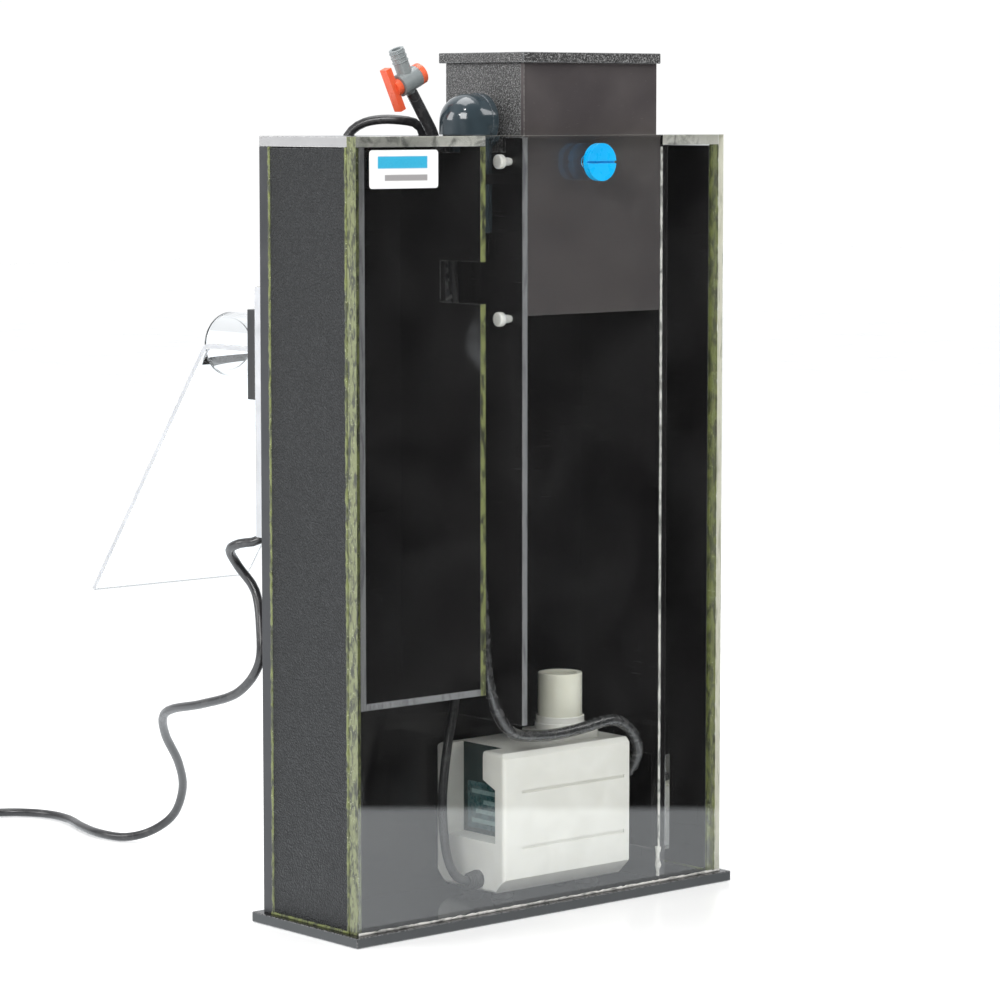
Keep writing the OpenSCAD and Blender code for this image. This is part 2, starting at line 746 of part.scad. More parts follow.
module cover_screws() {
    color([0.72, 0.73, 0.74])
        for (y = [9, pump_d - 9], z = [12, pump_h - 10])
            translate([pump_x + pump_len, pump_y + y, pump_z + z]) rotate([0, 90, 0]) {
                cylinder(h = cover_plate_t, r = 1.6);
                translate([0, 0, cover_plate_t]) difference() {
                    cylinder(h = 2, r = 3);
                    translate([-4, -0.4, 1.2]) cube([8, 0.8, 2]);
                }
            }
}

module cover_seal() {
    color([0.05, 0.05, 0.05]) translate([pump_x + pump_len - 6, pump_mid_y, shaft_z])
        rotate([0, 90, 0]) rotate_extrude()
            translate([volute_r - 1.7, 0]) square([1.7, 3]);
}

module outlet_flange() {
    color([0.93, 0.93, 0.9]) translate([stub_x, stub_y, flange_z]) difference() {
        union() {
            translate([-19, -16, 0]) rounded_plate([38, 32], 5, flange_t);
            translate([0, 0, flange_t]) cylinder(h = collar_h / 2, r = stub_od / 2 + 2);
            translate([0, 0, flange_t]) cylinder(h = collar_h, r = stub_od / 2 + 1.3);
        }
        translate([0, 0, -cut]) cylinder(h = flange_t + 2 * cut, r = stub_bore_r);
        translate([0, 0, flange_t]) cylinder(h = collar_h + cut, r = stub_od / 2);
    }
}

module outlet_stub() {
    color([0.85, 0.84, 0.74]) translate([stub_x, stub_y, flange_z + flange_t])
        difference() {
            cylinder(h = collar_h + stub_h, r = stub_od / 2);
            translate([0, 0, -cut])
                cylinder(h = collar_h + stub_h + 2 * cut, r = stub_bore_r);
        }
}

module rotor_magnet() {
    color([0.1, 0.1, 0.1]) difference() {
        on_shaft(rotor_bore_x + 2, rotor_len, magnet_d / 2);
        on_shaft(rotor_bore_x, rotor_len + 4, shaft_d / 2 + run_fit);
    }
}

module rotor_shaft() {
    color([0.9, 0.9, 0.88])
        on_shaft(rotor_bore_x - bush_t, spigot_x + bush_t - rotor_bore_x + bush_t, shaft_d / 2);
}

module shaft_bushes() {
    color([0.06, 0.06, 0.06]) for (x = [rotor_bore_x - bush_t, spigot_x])
        difference() {
            on_shaft(x, bush_t, bush_r);
            on_shaft(x - cut, bush_t + 2 * cut, shaft_d / 2);
        }
}

module needle_wheel() {
    hub_len = 14;
    pins = 12;
    color([0.75, 0.77, 0.78])
        translate([rotor_bore_x + 2 + rotor_len, pump_mid_y, shaft_z]) rotate([0, 90, 0])
        difference() {
            union() {
                translate([0, 0, 3]) cylinder(h = 2.5, r = needle_wheel_d / 2);
                cylinder(h = hub_len, r = shaft_d / 2 + 2.5);
                for (ring = [0.38, 0.62, 0.86], i = [0 : pins - 1])
                    rotate([0, 0, (i + ring) * 360 / pins])
                        translate([ring * needle_wheel_d / 2, 0, 5])
                            cylinder(h = 10, r = 1, $fn = 16);
            }
            translate([0, 0, -cut])
                cylinder(h = hub_len + 2 * cut, r = shaft_d / 2 + run_fit);
        }
}

module pump_feet() {
    color([0.06, 0.06, 0.06])
        for (x = [14, pump_len - 14], y = [18, pump_d - 18])
            translate([pump_x + x, pump_y + y, floor_z])
                cylinder(h = pump_foot_h, r1 = 7, r2 = 5);
}

module cord_gland() {
    color([0.12, 0.12, 0.12]) translate([pump_x, gland_y, gland_z]) rotate([0, -90, 0])
        difference() {
            cylinder(h = gland_len, r1 = 5.5, r2 = 3.8);
            translate([0, 0, gland_len - 5]) cylinder(h = 6, r = cord_d / 2);
        }
}

// ---------------------------------------------------------------- air line

module air_nipple() {
    color([0.8, 0.8, 0.78])
        translate([pump_x + pump_len + cover_plate_t + 7, pump_mid_y, shaft_z])
            rotate([nipple_lean, 0, 0]) translate([0, 0, nozzle_r - 2]) difference() {
                union() {
                    cylinder(h = 14, r = 2);
                    translate([0, 0, 2.2]) cylinder(h = 3, r = 3.4);
                }
                translate([0, 0, -cut]) cylinder(h = 16, r = 1);
            }
}

module air_hose() {
    color([0.16, 0.16, 0.17]) tube(hose_points, hose_d / 2, hose_ring_step);
}

module valve_body() {
    color([0.5, 0.53, 0.54]) translate([valve_x, valve_y, valve_z])
        rotate([0, -valve_lean, 0]) difference() {
            union() {
                rotate([0, 90, 0]) translate([0, 0, -valve_len / 2])
                    cylinder(h = valve_len, r = valve_od / 2);
                cylinder(h = 20, r = 4.5);
                translate([0, 0, -valve_stub]) cylinder(h = valve_stub, r = 2.4);
            }
            rotate([0, 90, 0]) translate([0, 0, -valve_len])
                cylinder(h = 2 * valve_len, r = 4);
            translate([0, 0, 3]) cylinder(h = 20, r = 2.8);
            translate([0, 0, -valve_stub - cut]) cylinder(h = valve_stub - 1, r = 1.4);
        }
}

module valve_plug() {
    half = valve_len / 2;
    color([0.92, 0.3, 0.18]) translate([valve_x, valve_y, valve_z])
        rotate([0, -valve_lean, 0]) rotate([0, 90, 0]) difference() {
            union() {
                translate([0, 0, -half - 1]) cylinder(h = valve_len + 2, r = 4 - run_fit);
                translate([0, 0, half + 0.3]) cylinder(h = 3.5, r = 6.4);
                translate([0, 0, -half - 4.3]) cylinder(h = 4, r = 5);
                translate([-wing_len / 2, -3, -half - 7]) cube([wing_len, 6, 4]);
            }
            rotate([0, 90, 0]) translate([0, 0, -valve_od])
                cylinder(h = 2 * valve_od, r = 1.5);
        }
}

// ---------------------------------------------------------------- cord

module power_cord() {
    color([0.13, 0.13, 0.14]) tube(cord_points, cord_d / 2, cord_ring_step);
}

module cord_coil() {
    ring = (coil_od - coil_core_d) / 2;
    color([0.13, 0.13, 0.14]) translate([coil_x, coil_y, 0]) rotate_extrude()
        translate([coil_core_d / 2, 0]) square([ring, coil_h]);
}

module cord_tie() {
    mid = (coil_od + coil_core_d) / 4;
    ring = (coil_od - coil_core_d) / 2;
    color([0.05, 0.05, 0.05]) translate([coil_x, coil_y, 0]) rotate([0, 0, 60])
        translate([mid, 0, 0]) difference() {
            translate([-ring / 2 - 1.5, -4, 0]) cube([ring + 3, 8, coil_h + 1.5]);
            translate([-ring / 2, -5, -cut]) cube([ring, 10, coil_h + cut]);
        }
}

module plug_body() {
    color([0.08, 0.08, 0.08]) translate([plug_x, plug_y, 0])
        rounded_plate([plug_w, plug_len], 6, 14);
}

module plug_pins() {
    color([0.75, 0.7, 0.5]) for (x = [7.5, 26.5])
        translate([plug_x + x, plug_y + plug_len, 7]) rotate([-90, 0, 0])
            cylinder(h = 19, r = 2);
}

base_plate();
back_panel();
left_side_panel();
right_side_panel();
front_pane();
chamber_liner();
chamber_floor();
window_partition();
tower_partition();
inlet_partition();
inlet_guard();
left_top_cover();
right_top_cover();
cement_seams();
name_label();
elbow_bridge();
elbow_riser();
pipe_elbow();
outlet_pipe();
spacer_strips();
chute_brackets();
return_chute();
cup_stop_screws();
cup_shell();
cup_front();
foam_slope();
cup_lid();
lid_rim();
lock_screw();
pump_housing();
motor_block();
pump_label();
suction_cover();
cover_screws();
cover_seal();
outlet_flange();
outlet_stub();
rotor_magnet();
rotor_shaft();
shaft_bushes();
needle_wheel();
pump_feet();
cord_gland();
air_nipple();
air_hose();
valve_body();
valve_plug();
power_cord();
cord_coil();
cord_tie();
plug_body();
plug_pins();
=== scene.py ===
"""Studio scene of a hang-on protein skimmer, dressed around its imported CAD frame.

The object is a slim acrylic case with a clear front pane, a needle-wheel pump, a
lift-out foam cup, a swivel elbow, an air valve and a clear return chute.  Each
sub-assembly is a class that builds its meshes, dresses them in its finishes and
hands them to the bodies of the frame.  All sizes are in metres, in the CAD's frame:
+X to the right along the pane, +Y to the back, +Z up.
"""

import json
import logging
import math
from collections.abc import Callable, Iterable, Sequence
from dataclasses import dataclass, field
from enum import Enum

import bmesh
import bpy
from mathutils import Matrix, Vector

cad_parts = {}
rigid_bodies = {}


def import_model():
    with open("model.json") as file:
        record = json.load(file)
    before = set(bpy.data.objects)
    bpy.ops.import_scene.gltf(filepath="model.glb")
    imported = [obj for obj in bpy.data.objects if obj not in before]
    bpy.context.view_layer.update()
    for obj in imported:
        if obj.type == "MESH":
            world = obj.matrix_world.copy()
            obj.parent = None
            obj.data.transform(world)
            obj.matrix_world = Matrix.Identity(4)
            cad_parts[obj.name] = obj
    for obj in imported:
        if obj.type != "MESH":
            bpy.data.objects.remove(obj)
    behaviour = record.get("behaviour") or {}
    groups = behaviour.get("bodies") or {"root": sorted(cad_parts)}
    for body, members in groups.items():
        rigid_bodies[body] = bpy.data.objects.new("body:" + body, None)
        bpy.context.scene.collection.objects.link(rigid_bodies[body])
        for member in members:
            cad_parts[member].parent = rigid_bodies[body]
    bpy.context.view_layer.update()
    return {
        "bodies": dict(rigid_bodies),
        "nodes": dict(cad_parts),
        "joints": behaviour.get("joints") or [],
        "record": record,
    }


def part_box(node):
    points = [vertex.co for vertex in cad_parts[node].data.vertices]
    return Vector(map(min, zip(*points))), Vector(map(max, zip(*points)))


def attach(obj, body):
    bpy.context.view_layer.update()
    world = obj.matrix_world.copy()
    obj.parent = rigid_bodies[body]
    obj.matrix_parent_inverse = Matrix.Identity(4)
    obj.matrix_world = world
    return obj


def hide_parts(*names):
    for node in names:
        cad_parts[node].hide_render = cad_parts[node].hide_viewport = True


LOG = logging.getLogger("skimmer")
MM = 0.001

Colour = tuple[float, float, float]
Socket = bpy.types.NodeSocket
Value = float | Sequence[float] | Socket
Point = tuple[float, float, float]


class Body(str, Enum):
    """The moving bodies of the frame."""

    CASE = "case"
    CUP = "cup"
    LID = "lid"
    LOCKING_SCREW = "locking_screw"
    ELBOW = "elbow"
    VALVE_TAP = "valve_tap"
    ROTOR = "rotor"
    CHUTE = "chute"


class Slot(str, Enum):
    """The material slots that the record names."""

    BLACK_ACRYLIC = "black_acrylic"
    GRAINED_ACRYLIC = "grained_acrylic"
    CLEAR_PANE = "clear_pane"
    CLEAR_ACRYLIC = "clear_acrylic"
    GREY_EDGE_ACRYLIC = "grey_edge_acrylic"
    CEMENT = "cement"
    LABEL = "label"
    GREY_PVC = "grey_pvc"
    BLACK_PLASTIC = "black_plastic"
    WHITE_NYLON = "white_nylon"
    SPECKLED_ACRYLIC = "speckled_acrylic"
    SMOKED_ACRYLIC = "smoked_acrylic"
    BLUE_PLASTIC = "blue_plastic"
    PUMP_WHITE = "pump_white"
    CREAM_PLASTIC = "cream_plastic"
    POTTING = "potting"
    PUMP_LABEL = "pump_label"
    STEEL = "steel"
    RUBBER = "rubber"
    MAGNET = "magnet"
    CERAMIC = "ceramic"
    IMPELLER_PLASTIC = "impeller_plastic"
    CORD_JACKET = "cord_jacket"
    HOSE_RUBBER = "hose_rubber"
    VALVE_GREY = "valve_grey"
    VALVE_ORANGE = "valve_orange"
    PLUG_BLACK = "plug_black"
    PIN_BRASS = "pin_brass"


# ------------------------------------------------------------------ material graphs


class Graph:
    """One material's node tree, with a short way of writing each node."""

    def __init__(self, name: str) -> None:
        """Starts an empty tree.

        Args:
            name: The material's name.
        """
        self.material = bpy.data.materials.new(name)
        self.material.use_nodes = True
        self.tree = self.material.node_tree
        self.tree.nodes.clear()
        self.place = self.add("ShaderNodeTexCoord").outputs["Object"]

    def add(self, kind: str, inputs: dict | None = None, **settings: object) -> bpy.types.Node:
        """Adds a node.

        Args:
            kind: The node's type.
            inputs: Values or sockets by input name or index.
            **settings: Properties of the node itself.

        Returns:
            The node.
        """
        return add_node(self.tree, kind, inputs, **settings)

    def stretched(self, x: float, y: float, z: float, at: Point = (0, 0, 0)) -> Socket:
        """Object coordinates scaled along each axis, then moved by at."""
        return self.add("ShaderNodeMapping", {"Vector": self.place, "Location": at,
                                              "Scale": (x, y, z)}).outputs[0]

    def noise(self, scale: float, detail: float = 2.0, at: Socket | None = None,
              distortion: float = 0.0) -> Socket:
        """Fractal noise, about 0.5 on average, with scale features a metre."""
        return self.add("ShaderNodeTexNoise", {
            "Vector": at or self.place, "Scale": scale, "Detail": detail,
            "Distortion": distortion}).outputs[0]

    def cells(self, scale: float, at: Socket | None = None, smooth: bool = False) -> Socket:
        """Distance to the nearest of scattered points, scale of them a metre."""
        return self.add("ShaderNodeTexVoronoi", {"Vector": at or self.place, "Scale": scale},
                        feature="SMOOTH_F1" if smooth else "F1").outputs[0]

    def calc(self, how: str, a: Value, b: Value = 0.0) -> Socket:
        """The result of a Math node."""
        return self.add("ShaderNodeMath", {0: a, 1: b}, operation=how).outputs[0]

    def remap(self, value: Value, low: float, high: float, to_low: float = 0.0,
              to_high: float = 1.0) -> Socket:
        """Maps low..high to to_low..to_high, clamped."""
        return self.add("ShaderNodeMapRange", {0: value, 1: low, 2: high, 3: to_low,
                                               4: to_high}).outputs[0]

    def mix(self, factor: Value, a: Value, b: Value) -> Socket:
        """Blends two colours."""
        return self.add("ShaderNodeMix", {0: factor, 6: rgba(a), 7: rgba(b)},
                        data_type="RGBA").outputs[2]

    def edge(self, break_up: float = 700.0) -> Socket:
        """1 on the bevelled edges of a traced piece, broken up by noise, else 0."""
        mark = self.add("ShaderNodeAttribute", attribute_name="edge").outputs["Fac"]
        return self.calc("MULTIPLY", mark, self.remap(self.noise(break_up, 3.0), 0.38, 0.62))

    def bump(self, height: Value, distance: float, under: Socket | None = None) -> Socket:
        """A bumped normal of that depth in metres, on top of another one."""
        inputs = {"Height": height, "Distance": distance, "Strength": 1.0}
        if under is not None:
            inputs["Normal"] = under
        return self.add("ShaderNodeBump", inputs).outputs[0]

    def axis(self, name: str) -> Socket:
        """One of the Object coordinates, X, Y or Z."""
        return self.add("ShaderNodeSeparateXYZ", {0: self.place}).outputs[name]

    def band(self, value: Socket, low: float, high: float, soft: float) -> Socket:
        """1 where value is between low and high, with soft edges."""
        return self.calc("MULTIPLY", self.remap(value, low - soft, low + soft),
                         self.remap(value, high - soft, high + soft, 1.0, 0.0))

    def plastic(self, colour: Value, roughness: Value, normal: Socket | None = None,
                **more: Value) -> Socket:
        """A Principled surface; more holds its other sockets, with _ for a space."""
        inputs = {"Base Color": rgba(colour), "Roughness": roughness}
        inputs.update({name.replace("_", " "): value for name, value in more.items()})
        if normal is not None:
            inputs["Normal"] = normal
        return self.add("ShaderNodeBsdfPrincipled", inputs).outputs[0]

    def blended(self, factor: Value, a: Socket, b: Socket) -> Socket:
        """Mixes two surfaces."""
        return self.add("ShaderNodeMixShader", {0: factor, 1: a, 2: b}).outputs[0]

    def done(self, surface: Socket) -> bpy.types.Material:
        """Closes the tree and returns its material."""
        self.add("ShaderNodeOutputMaterial", {"Surface": surface})
        return self.material


def add_node(tree: bpy.types.NodeTree, kind: str, inputs: dict | None = None,
             **settings: object) -> bpy.types.Node:
    """Adds a node to any tree.

    Args:
        tree: The tree.
        kind: The node's type.
        inputs: Values or sockets by input name or index.
        **settings: Properties of the node itself.

    Returns:
        The node.
    """
    node = tree.nodes.new(kind)
    for name, value in settings.items():
        setattr(node, name, value)
    for key, value in (inputs or {}).items():
        if isinstance(value, Socket):
            tree.links.new(value, node.inputs[key])
        else:
            node.inputs[key].default_value = value
    return node


def rgba(colour: Value) -> Value:
    """A colour with its alpha, or the socket as it is."""
    if isinstance(colour, Socket) or len(colour) == 4:
        return colour
    return (*colour, 1.0)


# ------------------------------------------------------------------ finishes


@dataclass(frozen=True)
class Finish:
    """What a surface is made of and how it has worn."""

    name: str

    def build(self) -> bpy.types.Material:
        """Makes the material."""
        raise NotImplementedError


@dataclass(frozen=True)
class CastSheet(Finish):
    """Glossy cast acrylic sheet with smudges, hairline scratches and rubbed edges."""

    colour: Colour = (0.006, 0.0055, 0.006)
    dull: Colour = (0.015, 0.0135, 0.014)
    rubbed: Colour = (0.13, 0.13, 0.13)
    roughness: float = 0.08
    wave: float = 0.00002

    def build(self) -> bpy.types.Material:
        """Makes the material."""
        g = Graph(self.name)
        smudge = g.remap(g.noise(26.0, 5.0, distortion=0.6), 0.42, 0.72)
        lines = g.remap(g.noise(1.0, 3.0, g.stretched(40, 40, 1900)), 0.68, 0.74)
        more = g.remap(g.noise(1.0, 3.0, g.stretched(1500, 1500, 60, (0.3, 0.2, 0.1))), 0.7, 0.76)
        scratch = g.calc("MULTIPLY", g.calc("MAXIMUM", lines, more),
                         g.remap(g.noise(9.0, 2.0), 0.5, 0.7))
        dust = g.remap(g.cells(420.0), 0.05, 0.11, 0.5, 0.0)
        base = g.mix(g.calc("MAXIMUM", g.calc("MULTIPLY", smudge, 0.5), dust),
                     self.colour, self.dull)
        base = g.mix(g.calc("MULTIPLY", scratch, 0.35), base, self.rubbed)
        base = g.mix(g.edge(), base, self.rubbed)
        rough = g.calc("ADD", g.remap(smudge, 0.0, 1.0, self.roughness, self.roughness + 0.14),
                       g.calc("MULTIPLY", scratch, 0.25))
        normal = g.bump(g.noise(14.0, 2.0), self.wave * 12)
        normal = g.bump(scratch, -self.wave, normal)
        return g.done(g.plastic(base, rough, normal, IOR=1.49, Specular_IOR_Level=0.32))


@dataclass(frozen=True)
class GrainedSheet(Finish):
    """Textured sheet: rounded pebbles about a millimetre across with satin tops, lightened by
    painted glints against darker valleys.
    """

    valley: Colour = (0.002, 0.0022, 0.0026)
    glint_colour: Colour = (0.02, 0.0215, 0.0235)
    pebbles: float = 950.0
    depth: float = 0.00035
    roughness: float = 0.36
    fleck: float = 0.0

    def build(self) -> bpy.types.Material:
        """Makes the material."""
        g = Graph(self.name)
        bent = g.add("ShaderNodeTexNoise", {"Vector": g.place, "Scale": 420.0, "Detail": 2.0})
        moved = g.add("ShaderNodeVectorMath", {0: bent.outputs["Color"],
                                               1: (0.0012, 0.0012, 0.0012)}, operation="MULTIPLY")
        at = g.add("ShaderNodeVectorMath", {0: g.place, 1: moved.outputs[0]}).outputs[0]
        pebble = g.remap(g.cells(self.pebbles, at, smooth=True), 0.12, 0.62, 1.0, 0.0)
        fine = g.noise(2600.0, 2.0)
        height = g.calc("ADD", pebble, g.calc("MULTIPLY", fine, 0.35))
        patch = g.remap(g.noise(60.0, 4.0), 0.35, 0.7, 0.55, 1.0)
        # painted glint: the pebble tops get the lighter peak colour in patches, standing in for
        # light caught on them
        top = g.calc("MULTIPLY", g.remap(height, 0.55, 1.15), patch)
        base = g.mix(top, self.valley, self.glint_colour)
        if self.fleck:
            flecks = g.remap(g.noise(1300.0, 2.0, distortion=0.4), 0.52, 0.64)
            base = g.mix(g.calc("MULTIPLY", flecks, self.fleck), base, (0.3, 0.3, 0.3))
        base = g.mix(g.edge(), base, (0.14, 0.145, 0.15))
        rough = g.remap(g.noise(300.0, 3.0), 0.3, 0.7, self.roughness - 0.08,
                        self.roughness + 0.1)
        return g.done(g.plastic(base, rough, g.bump(height, self.depth), IOR=1.5,
                                Specular_IOR_Level=0.36))


@dataclass(frozen=True)
class ClearSheet(Finish):
    """Clear cast acrylic that lets the lamps through, with a thin veil of dust."""

    tint: Colour = (0.985, 0.99, 0.985)
    veil: float = 0.01
    roughness: float = 0.0
    veil_colour: Colour = (0.8, 0.8, 0.8)

    def build(self) -> bpy.types.Material:
        """Makes the material."""
        g = Graph(self.name)
        glass = g.plastic(self.tint, self.roughness, IOR=1.49, Transmission_Weight=1.0)
        dust = g.add("ShaderNodeBsdfDiffuse", {"Color": rgba(self.veil_colour)}).outputs[0]
        specks = g.remap(g.cells(260.0), 0.03, 0.07, 0.25, 0.0)
        film = g.remap(g.noise(18.0, 5.0, distortion=0.8), 0.35, 0.75, 0.4 * self.veil,
                       2.0 * self.veil)
        hairs = g.remap(g.noise(1.0, 3.0, g.stretched(900, 900, 40, (0.1, 0.4, 0.2))),
                        0.71, 0.78, 0.0, 3.0 * self.veil)
        cover = g.calc("ADD", g.calc("MULTIPLY", specks, 4.0 * self.veil),
                       g.calc("ADD", film, hairs))
        surface = g.blended(cover, glass, dust)
        path = g.add("ShaderNodeLightPath").outputs
        passing = g.calc("MAXIMUM", path["Is Shadow Ray"], path["Is Diffuse Ray"])
        through = g.add("ShaderNodeBsdfTransparent", {"Color": (0.93, 0.94, 0.93, 1)}).outputs[0]
        return g.done(g.blended(passing, surface, through))


@dataclass(frozen=True)
class SmokedSheet(Finish):
    """Smoked acrylic with a dull salt film: mostly opaque, with what is behind it faint."""

    colour: Colour = (0.06, 0.052, 0.054)
    pale: Colour = (0.085, 0.075, 0.075)
    rubbed: Colour = (0.2, 0.19, 0.18)
    see_through: float = 0.12

    def build(self) -> bpy.types.Material:
        """Makes the material."""
        g = Graph(self.name)
        cloud = g.remap(g.noise(22.0, 4.0, distortion=0.5), 0.35, 0.7)
        lines = g.remap(g.noise(1.0, 2.0, g.stretched(300, 300, 2400)), 0.7, 0.77)
        base = g.mix(cloud, self.colour, self.pale)
        base = g.mix(g.calc("MULTIPLY", lines, 0.4), base, self.rubbed)
        base = g.mix(g.edge(), base, self.rubbed)
        rough = g.remap(g.noise(90.0, 4.0), 0.3, 0.7, 0.3, 0.45)
        normal = g.bump(g.noise(1100.0, 2.0), 0.00002)
        film = g.plastic(base, rough, normal, IOR=1.49)
        through = g.add("ShaderNodeBsdfTransparent", {"Color": (0.5, 0.47, 0.47, 1)}).outputs[0]
        share = g.remap(g.noise(35.0, 3.0), 0.3, 0.7, self.see_through, self.see_through * 1.6)
        return g.done(g.blended(share, film, through))


@dataclass(frozen=True)
class Cement(Finish):
    """Solvent cement and sawn acrylic seen in a joint: mottled, with trapped bubbles."""

    main: Colour = (0.2, 0.22, 0.075)
    dark: Colour = (0.02, 0.022, 0.008)
    fleck: Colour = (0.6, 0.62, 0.4)
    streak: tuple[float, float, float] = (300, 300, 110)
    amount: float = 0.55
    roughness: float = 0.3

    def build(self) -> bpy.types.Material:
        """Makes the material."""
        g = Graph(self.name)
        run = g.noise(1.0, 4.0, g.stretched(*self.streak), distortion=0.7)
        patch = g.remap(run, self.amount - 0.12, self.amount + 0.06)
        base = g.mix(patch, self.main, self.dark)
        bubbles = g.remap(g.cells(700.0), 0.12, 0.24, 0.8, 0.0)
        grit = g.calc("MULTIPLY", bubbles, g.remap(g.noise(120.0, 3.0), 0.45, 0.62))
        base = g.mix(grit, base, self.fleck)
        normal = g.bump(g.noise(900.0, 3.0), 0.0002)
        return g.done(g.plastic(base, g.remap(run, 0.3, 0.7, self.roughness,
                                              self.roughness + 0.2), normal, Coat_Weight=0.4))


@dataclass(frozen=True)
class Moulded(Finish):
    """Moulded plastic or rubber: clouded colour, fine grain and worn edges."""

    colour: Colour = (0.5, 0.5, 0.5)
    cloud: Colour = (0.45, 0.45, 0.45)
    worn: Colour = (0.6, 0.6, 0.6)
    roughness: float = 0.35
    grain: float = 2600.0
    depth: float = 0.00003
    clouds: float = 45.0
    dirt: float = 0.25
    coat: float = 0.0
    glow: float = 0.0

    def build(self) -> bpy.types.Material:
        """Makes the material."""
        g = Graph(self.name)
        flow = g.remap(g.noise(self.clouds, 5.0, distortion=0.8), 0.32, 0.68)
        base = g.mix(flow, self.colour, self.cloud)
        specks = g.calc("MULTIPLY", g.remap(g.cells(640.0), 0.04, 0.1, 1.0, 0.0),
                        g.remap(g.noise(70.0, 2.0), 0.5, 0.65, 0.0, self.dirt))
        base = g.mix(specks, base, tuple(0.35 * c for c in self.colour))
        base = g.mix(g.edge(), base, self.worn)
        rough = g.remap(g.noise(210.0, 4.0), 0.3, 0.7, self.roughness - 0.07,
                        self.roughness + 0.09)
        normal = g.bump(g.noise(self.grain, 2.0), self.depth)
        normal = g.bump(g.noise(38.0, 2.0), self.depth * 4, normal)
        return g.done(g.plastic(base, rough, normal, Coat_Weight=self.coat,
                                Subsurface_Weight=self.glow, Subsurface_Scale=0.003,
                                Subsurface_Radius=(1.0, 0.9, 0.7)))


@dataclass(frozen=True)
class Turned(Finish):
    """Turned or plated metal with fine tool marks round one axis."""

    colour: Colour = (0.62, 0.62, 0.63)
    dull: Colour = (0.38, 0.37, 0.36)
    marks: tuple[float, float, float] = (3000, 60, 60)
    roughness: float = 0.26

    def build(self) -> bpy.types.Material:
        """Makes the material."""
        g = Graph(self.name)
        rings = g.noise(1.0, 3.0, g.stretched(*self.marks))
        stain = g.remap(g.noise(240.0, 4.0), 0.5, 0.75)
        base = g.mix(stain, self.colour, self.dull)
        rough = g.calc("ADD", g.remap(rings, 0.3, 0.7, self.roughness - 0.06,
                                      self.roughness + 0.08), g.calc("MULTIPLY", stain, 0.2))
        return g.done(g.plastic(base, rough, g.bump(rings, 0.00001), Metallic=1.0))


@dataclass(frozen=True)
class PlainLabel(Finish):
    """White vinyl sticker with a blue bar, a grey bar and no lettering."""

    left: float = -0.1325
    low: float = 0.427
    wide: float = 0.05
    tall: float = 0.0215

    def build(self) -> bpy.types.Material:
        """Makes the material."""
        g = Graph(self.name)
        u, v = g.axis("X"), g.axis("Z")
        blue = g.calc("MULTIPLY",
                      g.band(u, self.left + 0.006, self.left + self.wide - 0.008, 0.0003),
                      g.band(v, self.low + self.tall * 0.52, self.low + self.tall * 0.84, 0.0003))
        grey = g.calc("MULTIPLY",
                      g.band(u, self.left + 0.011, self.left + self.wide - 0.008, 0.0003),
                      g.band(v, self.low + self.tall * 0.2, self.low + self.tall * 0.36, 0.0003))
        paper = g.mix(g.remap(g.noise(130.0, 4.0), 0.4, 0.7), (0.86, 0.86, 0.86),
                      (0.76, 0.76, 0.75))
        ink = g.mix(g.noise(900.0, 2.0), (0.02, 0.34, 0.55), (0.04, 0.42, 0.64))
        base = g.mix(grey, g.mix(blue, paper, ink), (0.32, 0.31, 0.31))
        base = g.mix(g.edge(), base, (0.6, 0.59, 0.56))
        return g.done(g.plastic(base, g.remap(g.noise(400.0, 3.0), 0.3, 0.7, 0.28, 0.42),
                                g.bump(g.noise(500.0, 2.0), 0.00002), Coat_Weight=0.2))


@dataclass(frozen=True)
class RatingPlate(Finish):
    """Dark teal foil plate with pale blank fields and no lettering."""

    near: float = -0.018
    wide: float = 0.038
    low: float = 0.044
    tall: float = 0.028

    def build(self) -> bpy.types.Material:
        """Makes the material."""
        g = Graph(self.name)
        u, v = g.axis("Y"), g.axis("Z")
        fields: Socket | None = None
        for row, (start, stop) in enumerate(((0.1, 0.9), (0.1, 0.62), (0.1, 0.8), (0.3, 0.9))):
            high = self.low + self.tall * (0.84 - 0.21 * row)
            field_ = g.calc("MULTIPLY",
                            g.band(u, self.near + start * self.wide,
                                   self.near + stop * self.wide, 0.0002),
                            g.band(v, high - 0.0026, high, 0.0002))
            fields = field_ if fields is None else g.calc("MAXIMUM", fields, field_)
        foil = g.mix(g.remap(g.noise(300.0, 4.0), 0.35, 0.65), (0.012, 0.05, 0.055),
                     (0.03, 0.11, 0.12))
        base = g.mix(g.calc("MULTIPLY", fields, 0.75), foil, (0.3, 0.42, 0.42))
        return g.done(g.plastic(base, g.remap(g.noise(500.0, 3.0), 0.3, 0.7, 0.2, 0.4),
                                g.bump(g.noise(800.0, 2.0), 0.00002), Coat_Weight=0.5))


@dataclass(frozen=True)
class Jacket(Finish):
    """Flexible cord or hose jacket with faint rubbed streaks and powdery dust."""

    colour: Colour = (0.018, 0.018, 0.02)
    rubbed: Colour = (0.07, 0.068, 0.068)
    roughness: float = 0.28
    coat: float = 0.25

    def build(self) -> bpy.types.Material:
        """Makes the material."""
        g = Graph(self.name)
        streak = g.remap(g.noise(170.0, 4.0, distortion=1.2), 0.48, 0.7)
        powder = g.remap(g.noise(1800.0, 2.0), 0.55, 0.75, 0.0, 0.5)
        base = g.mix(g.calc("MAXIMUM", g.calc("MULTIPLY", streak, 0.6), powder),
                     self.colour, self.rubbed)
        rough = g.remap(streak, 0.0, 1.0, self.roughness, self.roughness + 0.18)
        normal = g.bump(g.noise(2300.0, 2.0), 0.00003)
        return g.done(g.plastic(base, rough, normal, Coat_Weight=self.coat,
                                Coat_Roughness=0.2))


